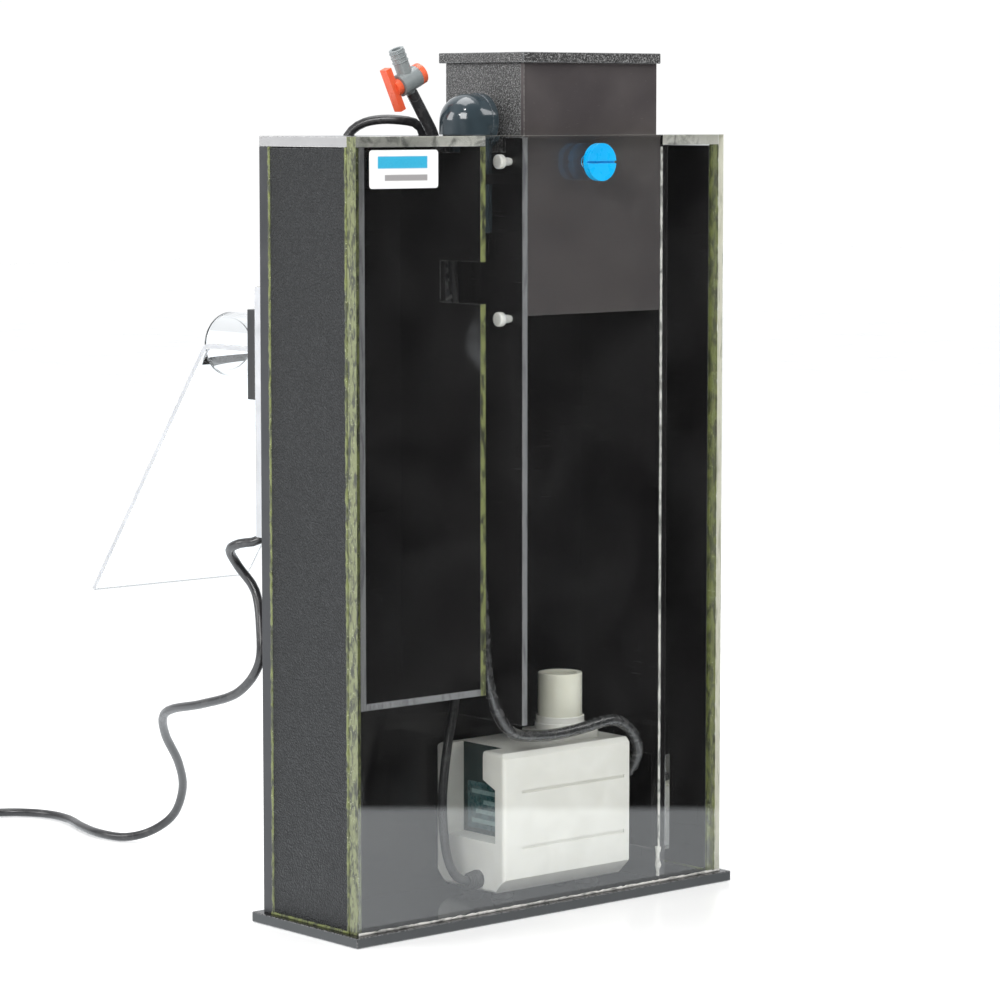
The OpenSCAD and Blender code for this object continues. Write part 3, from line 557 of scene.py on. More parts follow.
WHITE_PLASTIC = dict(colour=(0.8, 0.79, 0.755), cloud=(0.73, 0.72, 0.68),
                     worn=(0.88, 0.87, 0.84), glow=0.12)
FINISHES: dict[Slot, Finish] = {
    Slot.BLACK_ACRYLIC: CastSheet("cast_black"),
    Slot.GRAINED_ACRYLIC: GrainedSheet("haircell_black"),
    Slot.CLEAR_PANE: ClearSheet("clear_pane", veil=0.004),
    Slot.CLEAR_ACRYLIC: ClearSheet("clear_sheet", tint=(0.97, 0.98, 0.985), veil=0.008),
    Slot.GREY_EDGE_ACRYLIC: CastSheet("cast_black_grey_edge", rubbed=(0.2, 0.2, 0.2)),
    Slot.CEMENT: Cement("solvent_cement", (0.13, 0.15, 0.04), (0.03, 0.035, 0.01)),
    Slot.LABEL: PlainLabel("blank_label"),
    Slot.GREY_PVC: Moulded("grey_pvc", (0.035, 0.05, 0.06), (0.028, 0.04, 0.048),
                           (0.12, 0.14, 0.155), roughness=0.13, depth=0.00001, clouds=60.0,
                           coat=0.5),
    Slot.BLACK_PLASTIC: Moulded("black_moulding", (0.012, 0.012, 0.013), (0.02, 0.02, 0.021),
                                (0.09, 0.09, 0.09), roughness=0.38),
    Slot.WHITE_NYLON: Moulded("white_nylon", (0.8, 0.79, 0.76), (0.7, 0.69, 0.66),
                              (0.86, 0.85, 0.82), roughness=0.42, glow=0.25),
    Slot.SPECKLED_ACRYLIC: GrainedSheet("speckled_grain", (0.035, 0.035, 0.035), (0.13, 0.13, 0.13),
                                        pebbles=820.0, depth=0.0003, fleck=0.75),
    Slot.SMOKED_ACRYLIC: SmokedSheet("smoked_sheet"),
    Slot.BLUE_PLASTIC: Moulded("blue_moulding", (0.0, 0.42, 0.83), (0.0, 0.36, 0.76),
                               (0.25, 0.66, 0.9), roughness=0.3, coat=0.2),
    Slot.PUMP_WHITE: Moulded("pump_white", roughness=0.38, **WHITE_PLASTIC),
    Slot.CREAM_PLASTIC: Moulded("cream_moulding", (0.78, 0.77, 0.68), (0.72, 0.71, 0.61),
                                (0.84, 0.83, 0.75), roughness=0.36, glow=0.15),
    Slot.POTTING: CastSheet("epoxy_potting", (0.012, 0.03, 0.03), (0.03, 0.05, 0.05),
                            (0.1, 0.12, 0.12), roughness=0.12),
    Slot.PUMP_LABEL: RatingPlate("blank_rating_plate"),
    Slot.STEEL: Turned("turned_steel"),
    Slot.RUBBER: Moulded("black_rubber", (0.016, 0.016, 0.016), (0.026, 0.025, 0.025),
                         (0.08, 0.08, 0.08), roughness=0.6),
    Slot.MAGNET: Moulded("coated_ferrite", (0.03, 0.03, 0.032), (0.05, 0.048, 0.046),
                         (0.12, 0.12, 0.12), roughness=0.5),
    Slot.CERAMIC: Moulded("ground_ceramic", (0.84, 0.83, 0.79), (0.78, 0.77, 0.73),
                          (0.88, 0.87, 0.84), roughness=0.16, depth=0.000004),
    Slot.IMPELLER_PLASTIC: Moulded("impeller_grey", (0.42, 0.44, 0.46), (0.36, 0.38, 0.4),
                                   (0.55, 0.56, 0.57), roughness=0.36),
    Slot.CORD_JACKET: Jacket("cord_jacket"),
    Slot.HOSE_RUBBER: Jacket("hose_rubber", (0.03, 0.03, 0.032), (0.09, 0.088, 0.088),
                             roughness=0.22, coat=0.5),
    Slot.VALVE_GREY: Moulded("valve_grey", (0.17, 0.2, 0.21), (0.26, 0.28, 0.28),
                             (0.4, 0.42, 0.42), roughness=0.3, coat=0.2),
    Slot.VALVE_ORANGE: Moulded("valve_orange", (0.86, 0.1, 0.03), (0.8, 0.14, 0.06),
                               (0.93, 0.36, 0.24), roughness=0.33, glow=0.1, coat=0.1),
    Slot.PLUG_BLACK: Moulded("plug_black", (0.014, 0.014, 0.014), (0.022, 0.022, 0.022),
                             (0.08, 0.08, 0.08), roughness=0.42),
    Slot.PIN_BRASS: Turned("plated_pins", (0.78, 0.74, 0.66), (0.5, 0.44, 0.3),
                           marks=(60, 2500, 60), roughness=0.18),
}
JOINT_GREEN = Cement("joint_green")
JOINT_GREY = Cement("joint_grey", (0.2, 0.2, 0.21), (0.1, 0.1, 0.11), (0.35, 0.35, 0.35),
                    streak=(300, 300, 40), amount=0.62, roughness=0.35)
JOINT_WHITE = Cement("joint_white", (0.62, 0.61, 0.58), (0.2, 0.2, 0.19), (0.9, 0.9, 0.88),
                     streak=(120, 300, 120), amount=0.6, roughness=0.25)
SAWN_GREEN = Cement("sawn_edge_green", (0.15, 0.165, 0.07), (0.022, 0.025, 0.012),
                    (0.5, 0.52, 0.36), streak=(420, 420, 160), amount=0.56)
SAWN_CREAM = Cement("sawn_edge_cream", (0.74, 0.73, 0.62), (0.42, 0.42, 0.33),
                    (0.95, 0.94, 0.88), streak=(300, 300, 60), amount=0.64)
SAWN_BLACK = CastSheet("sawn_edge_black", (0.04, 0.043, 0.045), (0.065, 0.069, 0.072),
                       (0.16, 0.16, 0.165), roughness=0.28)
SAWN_DARK = CastSheet("sawn_edge_dark", (0.03, 0.031, 0.034), (0.055, 0.056, 0.06),
                      (0.12, 0.12, 0.125), roughness=0.3)
SAWN_PALE = Moulded("sawn_edge_pale", (0.5, 0.51, 0.53), (0.4, 0.41, 0.43), (0.66, 0.67, 0.68),
                    roughness=0.4, glow=0.2)
BAND_GREY = CastSheet("cover_band_grey", (0.3, 0.3, 0.305), (0.38, 0.38, 0.385),
                      (0.5, 0.5, 0.5), roughness=0.25)


class Paints:
    """Builds each finish once and hands out its material."""

    def __init__(self) -> None:
        """Starts with none built."""
        self.made: dict[str, bpy.types.Material] = {}

    def of(self, finish: Finish | Slot) -> bpy.types.Material:
        """The material of a finish, or of the slot's own finish."""
        if isinstance(finish, Slot):
            finish = FINISHES[finish]
        if finish.name not in self.made:
            self.made[finish.name] = finish.build()
        return self.made[finish.name]


# ------------------------------------------------------------------ geometry trees


class Tree:
    """A Geometry Nodes tree with named inputs, run once on a piece and then baked in."""

    def __init__(self, name: str) -> None:
        """Starts a tree with a Geometry input and output.

        Args:
            name: The tree's name.
        """
        self.group = bpy.data.node_groups.new(name, "GeometryNodeTree")
        self.face = self.group.interface
        self.ends = {way: self.face.new_socket(name="Geometry", in_out=way,
                                               socket_type="NodeSocketGeometry")
                     for way in ("INPUT", "OUTPUT")}
        self.source = self.group.nodes.new("NodeGroupInput")

    def size(self, name: str, kind: str = "Float") -> Socket:
        """Adds a named input and returns its socket."""
        self.face.new_socket(name=name, in_out="INPUT", socket_type=f"NodeSocket{kind}")
        return self.source.outputs[name]

    def add(self, kind: str, inputs: dict | None = None, **settings: object) -> bpy.types.Node:
        """Adds a node, as Graph.add does."""
        return add_node(self.group, kind, inputs, **settings)

    def close(self, geometry: Socket) -> "Tree":
        """Ends the tree in Realize Instances and Set Material."""
        material = self.size("Material", "Material")
        real = self.add("GeometryNodeRealizeInstances", {"Geometry": geometry})
        dressed = self.add("GeometryNodeSetMaterial", {"Geometry": real.outputs[0],
                                                       "Material": material})
        self.add("NodeGroupOutput", {"Geometry": dressed.outputs[0]})
        return self

    def run(self, piece: bpy.types.Object, **sizes: object) -> bpy.types.Object:
        """Runs the tree on a piece and keeps its result as a plain mesh.

        Args:
            piece: The object that carries the modifier.
            **sizes: Values by input name, with _ for a space.

        Returns:
            The same object, with no modifier.
        """
        modifier = piece.modifiers.new("build", "NODES")
        modifier.node_group = self.group
        asked = {name.replace("_", " "): value for name, value in sizes.items()}
        for item in self.face.items_tree:
            if item.in_out == "INPUT" and item.name in asked:
                modifier[item.identifier] = asked[item.name]
        return settled(piece)


def bead_tree() -> Tree:
    """A lumpy bead of cement that follows the piece's edges."""
    t = Tree("cement_bead")
    radius, lump, step = t.size("Radius"), t.size("Lump"), t.size("Step")
    grain, seed = t.size("Grain"), t.size("Seed")
    line = t.add("GeometryNodeMeshToCurve", {"Mesh": t.source.outputs["Geometry"]})
    fine = t.add("GeometryNodeResampleCurve", {"Curve": line.outputs[0], "Length": step},
                 mode="LENGTH")
    noise = t.add("ShaderNodeTexNoise", {"W": seed, "Scale": grain, "Detail": 3.0},
                  noise_dimensions="4D")
    least = t.add("ShaderNodeMath", {0: 1.0, 1: lump}, operation="SUBTRACT")
    most = t.add("ShaderNodeMath", {0: 1.0, 1: lump}, operation="ADD")
    scale = t.add("ShaderNodeMapRange", {"Value": noise.outputs[0], "From Min": 0.3,
                                         "From Max": 0.7, "To Min": least.outputs[0],
                                         "To Max": most.outputs[0]})
    ring = t.add("GeometryNodeCurvePrimitiveCircle", {"Resolution": 8, "Radius": radius})
    tube = t.add("GeometryNodeCurveToMesh", {
        "Curve": fine.outputs[0], "Profile Curve": ring.outputs[0],
        "Scale": scale.outputs[0], "Fill Caps": True})
    return t.close(t.add("GeometryNodeSetShadeSmooth", {"Geometry": tube.outputs[0]}).outputs[0])


def ring_tree() -> Tree:
    """A row of rings along +Z whose radius runs from one size to another."""
    t = Tree("ring_row")
    count, pitch = t.size("Count", "Int"), t.size("Pitch")
    first, last, thick = t.size("First Radius"), t.size("Last Radius"), t.size("Thickness")
    offset = t.add("ShaderNodeCombineXYZ", {"Z": pitch})
    row = t.add("GeometryNodeMeshLine", {"Count": count, "Offset": offset.outputs[0]})
    ring = t.add("GeometryNodeCurvePrimitiveCircle", {"Resolution": 32, "Radius": 1.0})
    span = t.add("ShaderNodeMath", {0: count, 1: 1.0}, operation="SUBTRACT")
    index = t.add("GeometryNodeInputIndex")
    share = t.add("ShaderNodeMapRange", {"Value": index.outputs[0],
                                         "From Max": span.outputs[0], "To Min": first,
                                         "To Max": last})
    grow = t.add("ShaderNodeCombineXYZ", {"X": share.outputs[0], "Y": share.outputs[0],
                                          "Z": share.outputs[0]})
    rings = t.add("GeometryNodeInstanceOnPoints", {"Points": row.outputs[0],
                                                   "Instance": ring.outputs[0],
                                                   "Scale": grow.outputs[0]})
    real = t.add("GeometryNodeRealizeInstances", {"Geometry": rings.outputs[0]})
    section = t.add("GeometryNodeCurvePrimitiveCircle", {"Resolution": 8, "Radius": thick})
    tube = t.add("GeometryNodeCurveToMesh", {"Curve": real.outputs[0],
                                             "Profile Curve": section.outputs[0], "Scale": 1.0})
    return t.close(t.add("GeometryNodeSetShadeSmooth", {"Geometry": tube.outputs[0]}).outputs[0])


def station_tree() -> Tree:
    """A copy of a master piece at each of the piece's points."""
    t = Tree("stations")
    master = t.size("Master", "Object")
    shape = t.add("GeometryNodeObjectInfo", {"Object": master})
    copies = t.add("GeometryNodeInstanceOnPoints", {
        "Points": t.source.outputs["Geometry"], "Instance": shape.outputs["Geometry"]})
    return t.close(copies.outputs[0])


def pin_tree() -> Tree:
    """Rings of upright pins, each ring turned a little past the last."""
    t = Tree("pin_rings")
    pins, rings = t.size("Pins", "Int"), t.size("Rings", "Int")
    near, pitch, twist = t.size("First Radius"), t.size("Ring Pitch"), t.size("Twist")
    thick, tall = t.size("Pin Radius"), t.size("Pin Length")
    total = t.add("ShaderNodeMath", {0: pins, 1: rings}, operation="MULTIPLY")
    points = t.add("GeometryNodeMeshLine", {"Count": total.outputs[0]})
    index = t.add("GeometryNodeInputIndex").outputs[0]
    share = t.add("ShaderNodeMath", {0: index, 1: pins}, operation="DIVIDE").outputs[0]
    ring = t.add("ShaderNodeMath", {0: share}, operation="FLOOR").outputs[0]
    turn = t.add("ShaderNodeMath", {0: ring, 1: twist, 2: share}, operation="MULTIPLY_ADD")
    angle = t.add("ShaderNodeMath", {0: turn.outputs[0], 1: math.tau}, operation="MULTIPLY")
    reach = t.add("ShaderNodeMath", {0: ring, 1: pitch, 2: near}, operation="MULTIPLY_ADD")
    parts = []
    for how in ("COSINE", "SINE"):
        side = t.add("ShaderNodeMath", {0: angle.outputs[0]}, operation=how)
        parts.append(t.add("ShaderNodeMath", {0: side.outputs[0], 1: reach.outputs[0]},
                           operation="MULTIPLY").outputs[0])
    lift = t.add("ShaderNodeMath", {0: tall, 1: 0.5}, operation="MULTIPLY").outputs[0]
    spot = t.add("ShaderNodeCombineXYZ", {"X": parts[0], "Y": parts[1], "Z": lift})
    placed = t.add("GeometryNodeSetPosition", {"Geometry": points.outputs[0],
                                               "Position": spot.outputs[0]})
    pin = t.add("GeometryNodeMeshCylinder", {"Vertices": 12, "Radius": thick, "Depth": tall})
    copies = t.add("GeometryNodeInstanceOnPoints", {"Points": placed.outputs[0],
                                                    "Instance": pin.outputs[0]})
    return t.close(copies.outputs[0])


# ------------------------------------------------------------------ mesh helpers


def piece_of(name: str, mesh: bpy.types.ID) -> bpy.types.Object:
    """Puts a new object in the scene, at the origin."""
    thing = bpy.data.objects.new(name, mesh)
    bpy.context.scene.collection.objects.link(thing)
    return thing


def mesh_of(name: str, vertices: Iterable[Sequence[float]] = (),
            edges: Iterable[Sequence[int]] = (),
            faces: Iterable[Sequence[int]] = ()) -> bpy.types.Object:
    """A new piece from its vertices, edges and faces."""
    mesh = bpy.data.meshes.new(name)
    mesh.from_pydata([tuple(v) for v in vertices], list(edges), list(faces))
    mesh.update()
    return piece_of(name, mesh)


def polyline(name: str, *lines: Sequence[Point]) -> bpy.types.Object:
    """A piece of loose edges along each line, in millimetres."""
    vertices: list[Vector] = []
    edges: list[tuple[int, int]] = []
    for line in lines:
        start = len(vertices)
        vertices += [Vector(p) * MM for p in line]
        edges += [(start + i, start + i + 1) for i in range(len(line) - 1)]
    return mesh_of(name, vertices, edges)


def settled(piece: bpy.types.Object) -> bpy.types.Object:
    """Bakes a piece's modifiers into a plain mesh and removes them."""
    graph = bpy.context.evaluated_depsgraph_get()
    mesh = bpy.data.meshes.new_from_object(piece.evaluated_get(graph), depsgraph=graph)
    piece.modifiers.clear()
    old, piece.data = piece.data, mesh
    if not old.users:
        bpy.data.meshes.remove(old)
    return piece


def dropped(*helpers: bpy.types.Object) -> None:
    """Removes helper objects."""
    for helper in helpers:
        bpy.data.objects.remove(helper)


def carved(piece: bpy.types.Object, tool: bpy.types.Object, how: str) -> bpy.types.Object:
    """Applies an exact boolean and removes the tool."""
    cut = piece.modifiers.new("cut", "BOOLEAN")
    cut.object, cut.operation, cut.solver = tool, how, "EXACT"
    settled(piece)
    dropped(tool)
    return piece


def weighted(piece: bpy.types.Object, sharp: float = 50.0) -> bpy.types.Object:
    """Shades a piece smooth, with normals led by its large faces.

    Args:
        piece: The piece.
        sharp: Edges that turn by more than this many degrees stay sharp.

    Returns:
        The piece.
    """
    piece.data.polygons.foreach_set("use_smooth", [True] * len(piece.data.polygons))
    piece.data.set_sharp_from_angle(angle=math.radians(sharp))
    lead = piece.modifiers.new("normals", "WEIGHTED_NORMAL")
    lead.keep_sharp = True
    lead.weight = 90
    return settled(piece)


def bevelled(bm: bmesh.types.BMesh, width: float, segments: int,
             angle: float = 30.0) -> None:
    """Rounds the sharp edges of a mesh and marks the new faces in its edge attribute.

    Args:
        bm: The mesh.
        width: Width of the rounding, in metres.
        segments: Steps across it.
        angle: Edges that turn by more than this many degrees are rounded.
    """
    mark = bm.faces.layers.float.get("edge") or bm.faces.layers.float.new("edge")
    limit = math.radians(angle)
    edges = [e for e in bm.edges if e.is_manifold and e.calc_face_angle(0.0) > limit]
    if width <= 0 or not edges:
        return
    made = bmesh.ops.bevel(bm, geom=edges, offset=width, offset_type="OFFSET",
                           segments=segments, profile=0.5, affect="EDGES",
                           clamp_overlap=True)
    for face in made["faces"]:
        face[mark] = 1.0


def lathe(name: str, profile: Sequence[tuple[float, float]], centre: Vector,
          along: Vector, steps: int = 48) -> bpy.types.Object:
    """A turned solid whose profile starts and ends on its axis.

    Args:
        name: The piece's name.
        profile: Radius and distance along the axis of each corner, in metres.
        centre: Where the axis starts.
        along: The axis's direction.
        steps: Facets round the axis.

    Returns:
        The piece, closed, with its faces outwards.
    """
    turn = Vector((0, 0, 1)).rotation_difference(along.normalized()).to_matrix()
    bm = bmesh.new()
    rings = []
    for radius, reach in profile:
        if radius <= 0:
            rings.append([bm.verts.new(centre + turn @ Vector((0, 0, reach)))])
            continue
        rings.append([bm.verts.new(centre + turn @ Vector((
            radius * math.cos(math.tau * k / steps), radius * math.sin(math.tau * k / steps),
            reach))) for k in range(steps)])
    for a, b in zip(rings, rings[1:]):
        for k in range(steps):
            j = (k + 1) % steps
            corners = [a[k % len(a)], a[j % len(a)], b[j % len(b)], b[k % len(b)]]
            corners = list(dict.fromkeys(corners))
            if len(corners) > 2:
                bm.faces.new(corners)
    bmesh.ops.recalc_face_normals(bm, faces=bm.faces)
    mesh = bpy.data.meshes.new(name)
    bm.to_mesh(mesh)
    bm.free()
    return weighted(piece_of(name, mesh), 40.0)


def smooth_route(points: Sequence[Point], step: float) -> list[Vector]:
    """Points on the smooth curve through a route's points.

    Args:
        points: The route's points, in millimetres.
        step: About how far apart the points are to be, in millimetres.

    Returns:
        The points, in metres.
    """
    p = [Vector(q) for q in points]
    out: list[Vector] = []
    for i in range(len(p) - 1):
        a, b, c, d = p[max(i - 1, 0)], p[i], p[i + 1], p[min(i + 2, len(p) - 1)]
        n = max(1, round((c - b).length / step))
        for k in range(n):
            t = k / n
            out.append(0.5 * (2 * b + (c - a) * t + (2 * a - 5 * b + 4 * c - d) * t * t
                              + (3 * b - a - 3 * c + d) * t ** 3) * MM)
    return [*out, p[-1] * MM]


def tube_curve(name: str, points: Sequence[Vector], diameter: float,
               material: bpy.types.Material) -> bpy.types.Object:
    """A round tube on one open spline."""
    curve = bpy.data.curves.new(name, "CURVE")
    curve.dimensions = "3D"
    curve.bevel_depth = diameter / 2
    curve.bevel_resolution = 4
    curve.use_fill_caps = True
    curve.materials.append(material)
    spline = curve.splines.new("POLY")
    spline.points.add(len(points) - 1)
    for spot, point in zip(spline.points, points):
        spot.co = (*point, 1.0)
    return piece_of(name, curve)


# ------------------------------------------------------------------ workshop


@dataclass
class Workshop:
    """What every sub-assembly needs: the frame, the finishes and the geometry trees."""

    frame: dict
    paints: Paints = field(default_factory=Paints)
    pane_back: float = -0.036
    pane_gap: float = 0.00006

    def __post_init__(self) -> None:
        """Makes the geometry trees and notes each node's body and slot."""
        self.bead, self.ring = bead_tree(), ring_tree()
        self.station, self.pin = station_tree(), pin_tree()
        bodies = self.frame["record"]["behaviour"]["bodies"]
        self.body = {node: Body(name) for name, nodes in bodies.items() for node in nodes}
        self.slot = {part["node"]: Slot(part["material_slot"])
                     for part in self.frame["record"]["subparts"]}

    def raw(self, node: str, name: str) -> bpy.types.Object:
        """A joined-up copy of a CAD node with its flat faces whole."""
        bm = bmesh.new()
        bm.from_mesh(self.frame["nodes"][node].data)
        bmesh.ops.remove_doubles(bm, verts=bm.verts, dist=2e-6)
        bmesh.ops.dissolve_limit(bm, angle_limit=math.radians(0.4), verts=bm.verts,
                                 edges=bm.edges)
        mesh = bpy.data.meshes.new(name)
        bm.to_mesh(mesh)
        bm.free()
        return piece_of(name, mesh)

    def traced(self, node: str, name: str, width: float = 0.0003, segments: int = 2,
               shell: bpy.types.Object | None = None) -> bpy.types.Object:
        """A copy of a CAD node with rounded edges.

        Args:
            node: The CAD node.
            name: The new piece's name.
            width: Width of the rounding, in metres.
            segments: Steps across the rounding.
            shell: A solid that the copy is trimmed to first.

        Returns:
            The piece, not yet dressed.
        """
        piece = self.raw(node, name)
        if shell is not None:
            carved(piece, shell, "INTERSECT")
        bm = bmesh.new()
        bm.from_mesh(piece.data)
        for vertex in bm.verts:
            if abs(vertex.co.y - self.pane_back) < 1e-5:
                vertex.co.y += self.pane_gap
        bevelled(bm, width, segments)
        bm.to_mesh(piece.data)
        bm.free()
        return weighted(piece)

    def hand_over(self, piece: bpy.types.Object, body: Body, slot: Slot,
                  *replaced: str) -> bpy.types.Object:
        """Gives a finished piece its body, its slot and the nodes that it stands for."""
        if not piece.data.materials:
            piece.data.materials.append(self.paints.of(slot))
        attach(piece, body.value)
        if replaced:
            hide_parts(*replaced)
        LOG.info("%s on %s, %d faces", piece.name, body.value,
                 len(getattr(piece.data, "polygons", ())))
        return piece

    def dress(self, node: str, width: float = 0.0003, segments: int = 2,
              faces: Sequence[tuple[Callable[[bpy.types.MeshPolygon], bool], Finish]] = (),
              shell: bpy.types.Object | None = None) -> bpy.types.Object:
        """Replaces a CAD node by its traced copy, dressed.

        Args:
            node: The CAD node.
            width: Width of the edge rounding, in metres.
            segments: Steps across the rounding.
            faces: Tests of a face, each with the finish of the faces that pass.
            shell: A solid that the copy is trimmed to first.

        Returns:
            The piece.
        """
        piece = self.traced(node, f"{node}_piece", width, segments, shell)
        piece.data.materials.clear()
        piece.data.materials.append(self.paints.of(self.slot[node]))
        for index, (test, finish) in enumerate(faces, 1):
            piece.data.materials.append(self.paints.of(finish))
            for face in piece.data.polygons:
                if test(face):
                    face.material_index = index
        return self.hand_over(piece, self.body[node], self.slot[node], node)

    def beads(self, name: str, finish: Finish, radius: float, *lines: Sequence[Point],
              lump: float = 0.35, body: Body = Body.CASE, seed: float = 1.0,
              slot: Slot = Slot.CEMENT) -> bpy.types.Object:
        """Lumpy cement beads along lines in millimetres."""
        piece = self.bead.run(polyline(name, *lines), Radius=radius, Lump=lump,
                              Step=radius * 1.4, Grain=420.0, Seed=seed,
                              Material=self.paints.of(finish))
        return self.hand_over(piece, body, slot)

    def rings(self, name: str, slot: Slot, start: Vector, along: Vector, count: int,
              pitch: float, radii: tuple[float, float], thickness: float,
              body: Body = Body.CASE) -> bpy.types.Object:
        """A row of ribs, barbs or thread turns along an axis."""
        piece = self.ring.run(mesh_of(name, [(0, 0, 0)]), Count=count, Pitch=pitch,
                              First_Radius=radii[0], Last_Radius=radii[1],
                              Thickness=thickness, Material=self.paints.of(slot))
        turn = Vector((0, 0, 1)).rotation_difference(along.normalized()).to_matrix().to_4x4()
        piece.data.transform(Matrix.Translation(start) @ turn)
        return self.hand_over(piece, body, slot)


def facing(axis: int, way: float, at: float | None = None,
           beyond: float = 0.9) -> Callable[[bpy.types.MeshPolygon], bool]:
    """A test for faces whose normal points along an axis.

    Args:
        axis: 0, 1 or 2 for X, Y or Z.
        way: 1 or -1.
        at: Where on that axis the face lies, in metres, if it matters.
        beyond: The least share of the normal along the axis.

    Returns:
        The test.
    """
    def test(face: bpy.types.MeshPolygon) -> bool:
        """Whether this face passes."""
        return face.normal[axis] * way > beyond and (
            at is None or abs(face.center[axis] - at) < 0.0012)
    return test


# ------------------------------------------------------------------ sub-assemblies


@dataclass
class Case:
    """The cemented acrylic case: base, panels, pane, partitions, covers and label."""

    shop: Workshop
    left: float = -142.0
    right: float = 142.0
    front: float = -44.0
    pane_back: float = -36.0
    rear: float = 44.0
    foot: float = 6.0
    top: float = 456.0

    def build(self) -> None:
        """Makes every piece of the case."""
        self.panels()
        self.pane()
        self.partitions()
        self.covers()
        self.seams()
        self.label()

    def panels(self) -> None:
        """Base plate, back panel and the two grained sides."""
        dress = self.shop.dress
        rim = [(facing(axis, way), SAWN_BLACK) for axis in (0, 1) for way in (-1, 1)]
        dress("base_plate", 0.0006, 3, rim)
        dress("back_panel", 0.0003, 2, [(facing(0, -1, self.left * MM), SAWN_DARK),
                                        (facing(0, 1, self.right * MM), SAWN_DARK)])
        dress("left_side_panel", 0.00025, 2, [(facing(0, 1), FINISHES[Slot.BLACK_ACRYLIC])])
        dress("right_side_panel", 0.00025, 2, [(facing(0, -1), FINISHES[Slot.BLACK_ACRYLIC])])

    def pane(self) -> None:
        """The clear front pane, with sawn edges and a cemented foot."""
        piece = self.shop.raw("front_pane", "front_pane_piece")
        for vertex in piece.data.vertices:
            if vertex.co.z < (self.foot + 0.5) * MM:
                vertex.co.z += 0.00006
        weighted(piece, 20.0)
        for finish in (FINISHES[Slot.CLEAR_PANE], SAWN_GREEN, SAWN_CREAM):
            piece.data.materials.append(self.shop.paints.of(finish))
        tests = [(facing(0, -1, self.left * MM), 1), (facing(0, 1, self.right * MM), 2),
                 (facing(2, 1, self.top * MM), 2)]
        for face in piece.data.polygons:
            face.material_index = max((n for test, n in tests if test(face)), default=0)
        self.shop.hand_over(piece, Body.CASE, Slot.CLEAR_PANE, "front_pane")

    def partitions(self) -> None:
        """Liner, chamber floor, partitions and guard, with cement on their front edges."""
        dress, front = self.shop.dress, facing(1, -1, self.pane_back * MM)
        dress("chamber_liner", faces=[(front, JOINT_GREY)])
        dress("chamber_floor", faces=[(front, JOINT_GREY)])
        dress("window_partition", faces=[(front, JOINT_GREEN)])
        dress("tower_partition", faces=[(front, JOINT_GREY)])
        dress("inlet_partition")
        line = self.right - 46.2
        self.shop.beads("inlet_joint_line", JOINT_WHITE, 0.0008,
                        [(line, self.pane_back + 0.9, self.top - 7),
                         (line, self.pane_back + 0.9, self.foot + 18)], lump=0.25, seed=4.0)
        self.shop.beads("inlet_joint_foot", JOINT_WHITE, 0.0016,
                        [(line + 0.6, self.pane_back + 1.8, self.foot + 20),
                         (line + 0.6, self.pane_back + 1.8, self.foot + 2)], seed=6.0)
        guard = self.shop.traced("inlet_guard", "inlet_guard_piece", 0.0003)
        for vertex in guard.data.vertices:
            vertex.co.x += 0.00006
        self.shop.hand_over(guard, Body.CASE, Slot.CLEAR_ACRYLIC, "inlet_guard")
        dress("elbow_bridge")

    def covers(self) -> None:
        """The two top covers, with pale cemented fronts and grey sawn ends."""
        for node, end in (("left_top_cover", facing(0, -1, self.left * MM)),
                          ("right_top_cover", facing(0, 1, self.right * MM))):
            self.shop.dress(node, 0.0004, 2, [(facing(1, -1, self.pane_back * MM), JOINT_WHITE),
                                              (end, BAND_GREY), (facing(1, 1), BAND_GREY)])

    def seams(self) -> None:
        """The cement strips, the beads that ooze from them and the pane's foot bead."""
        shop = self.shop
        shop.dress("cement_seams", 0.0002, 1)
        foot, top = self.foot + 0.3, self.top - 6
        for name, x in (("left_seam_beads", self.left + 0.45),
                        ("right_seam_beads", self.right - 0.45)):
            shop.beads(name, FINISHES[Slot.CEMENT], 0.0012,
                       [(x, self.pane_back + 1, top), (x, self.pane_back + 1, foot)],
                       [(x + (0.2 if x < 0 else -0.2), self.rear - 9, top),
                        (x + (0.2 if x < 0 else -0.2), self.rear - 9, foot)],
                       [(x, self.pane_back, foot), (x, self.rear - 8, foot)],
                       seed=2.0 if x < 0 else 5.0)
        shop.beads("pane_foot_bead", JOINT_WHITE, 0.0009,
                   [(self.left, self.front + 0.1, self.foot + 0.4),
                    (self.right, self.front + 0.1, self.foot + 0.4)], lump=0.5, seed=3.0)

    def label(self) -> None:
        """The blank sticker on the pane."""
        piece = self.shop.traced("name_label", "name_label_piece", 0.0001, 1)
        for vertex in piece.data.vertices:
            vertex.co.y -= 0.00003
        self.shop.hand_over(piece, Body.CASE, Slot.LABEL, "name_label")


@dataclass
class Pipework:
    """The swivel elbow on its riser, and the clear outlet pipe."""

    shop: Workshop

    def build(self) -> None:
        """Makes the pipes."""
        self.shop.dress("elbow_riser", 0.0004, 2)
        self.shop.dress("pipe_elbow", 0.0006, 3)
        piece = self.shop.traced("outlet_pipe", "outlet_pipe_piece", 0.0004)
        self.shop.hand_over(piece, Body.CASE, Slot.CLEAR_ACRYLIC, "outlet_pipe")


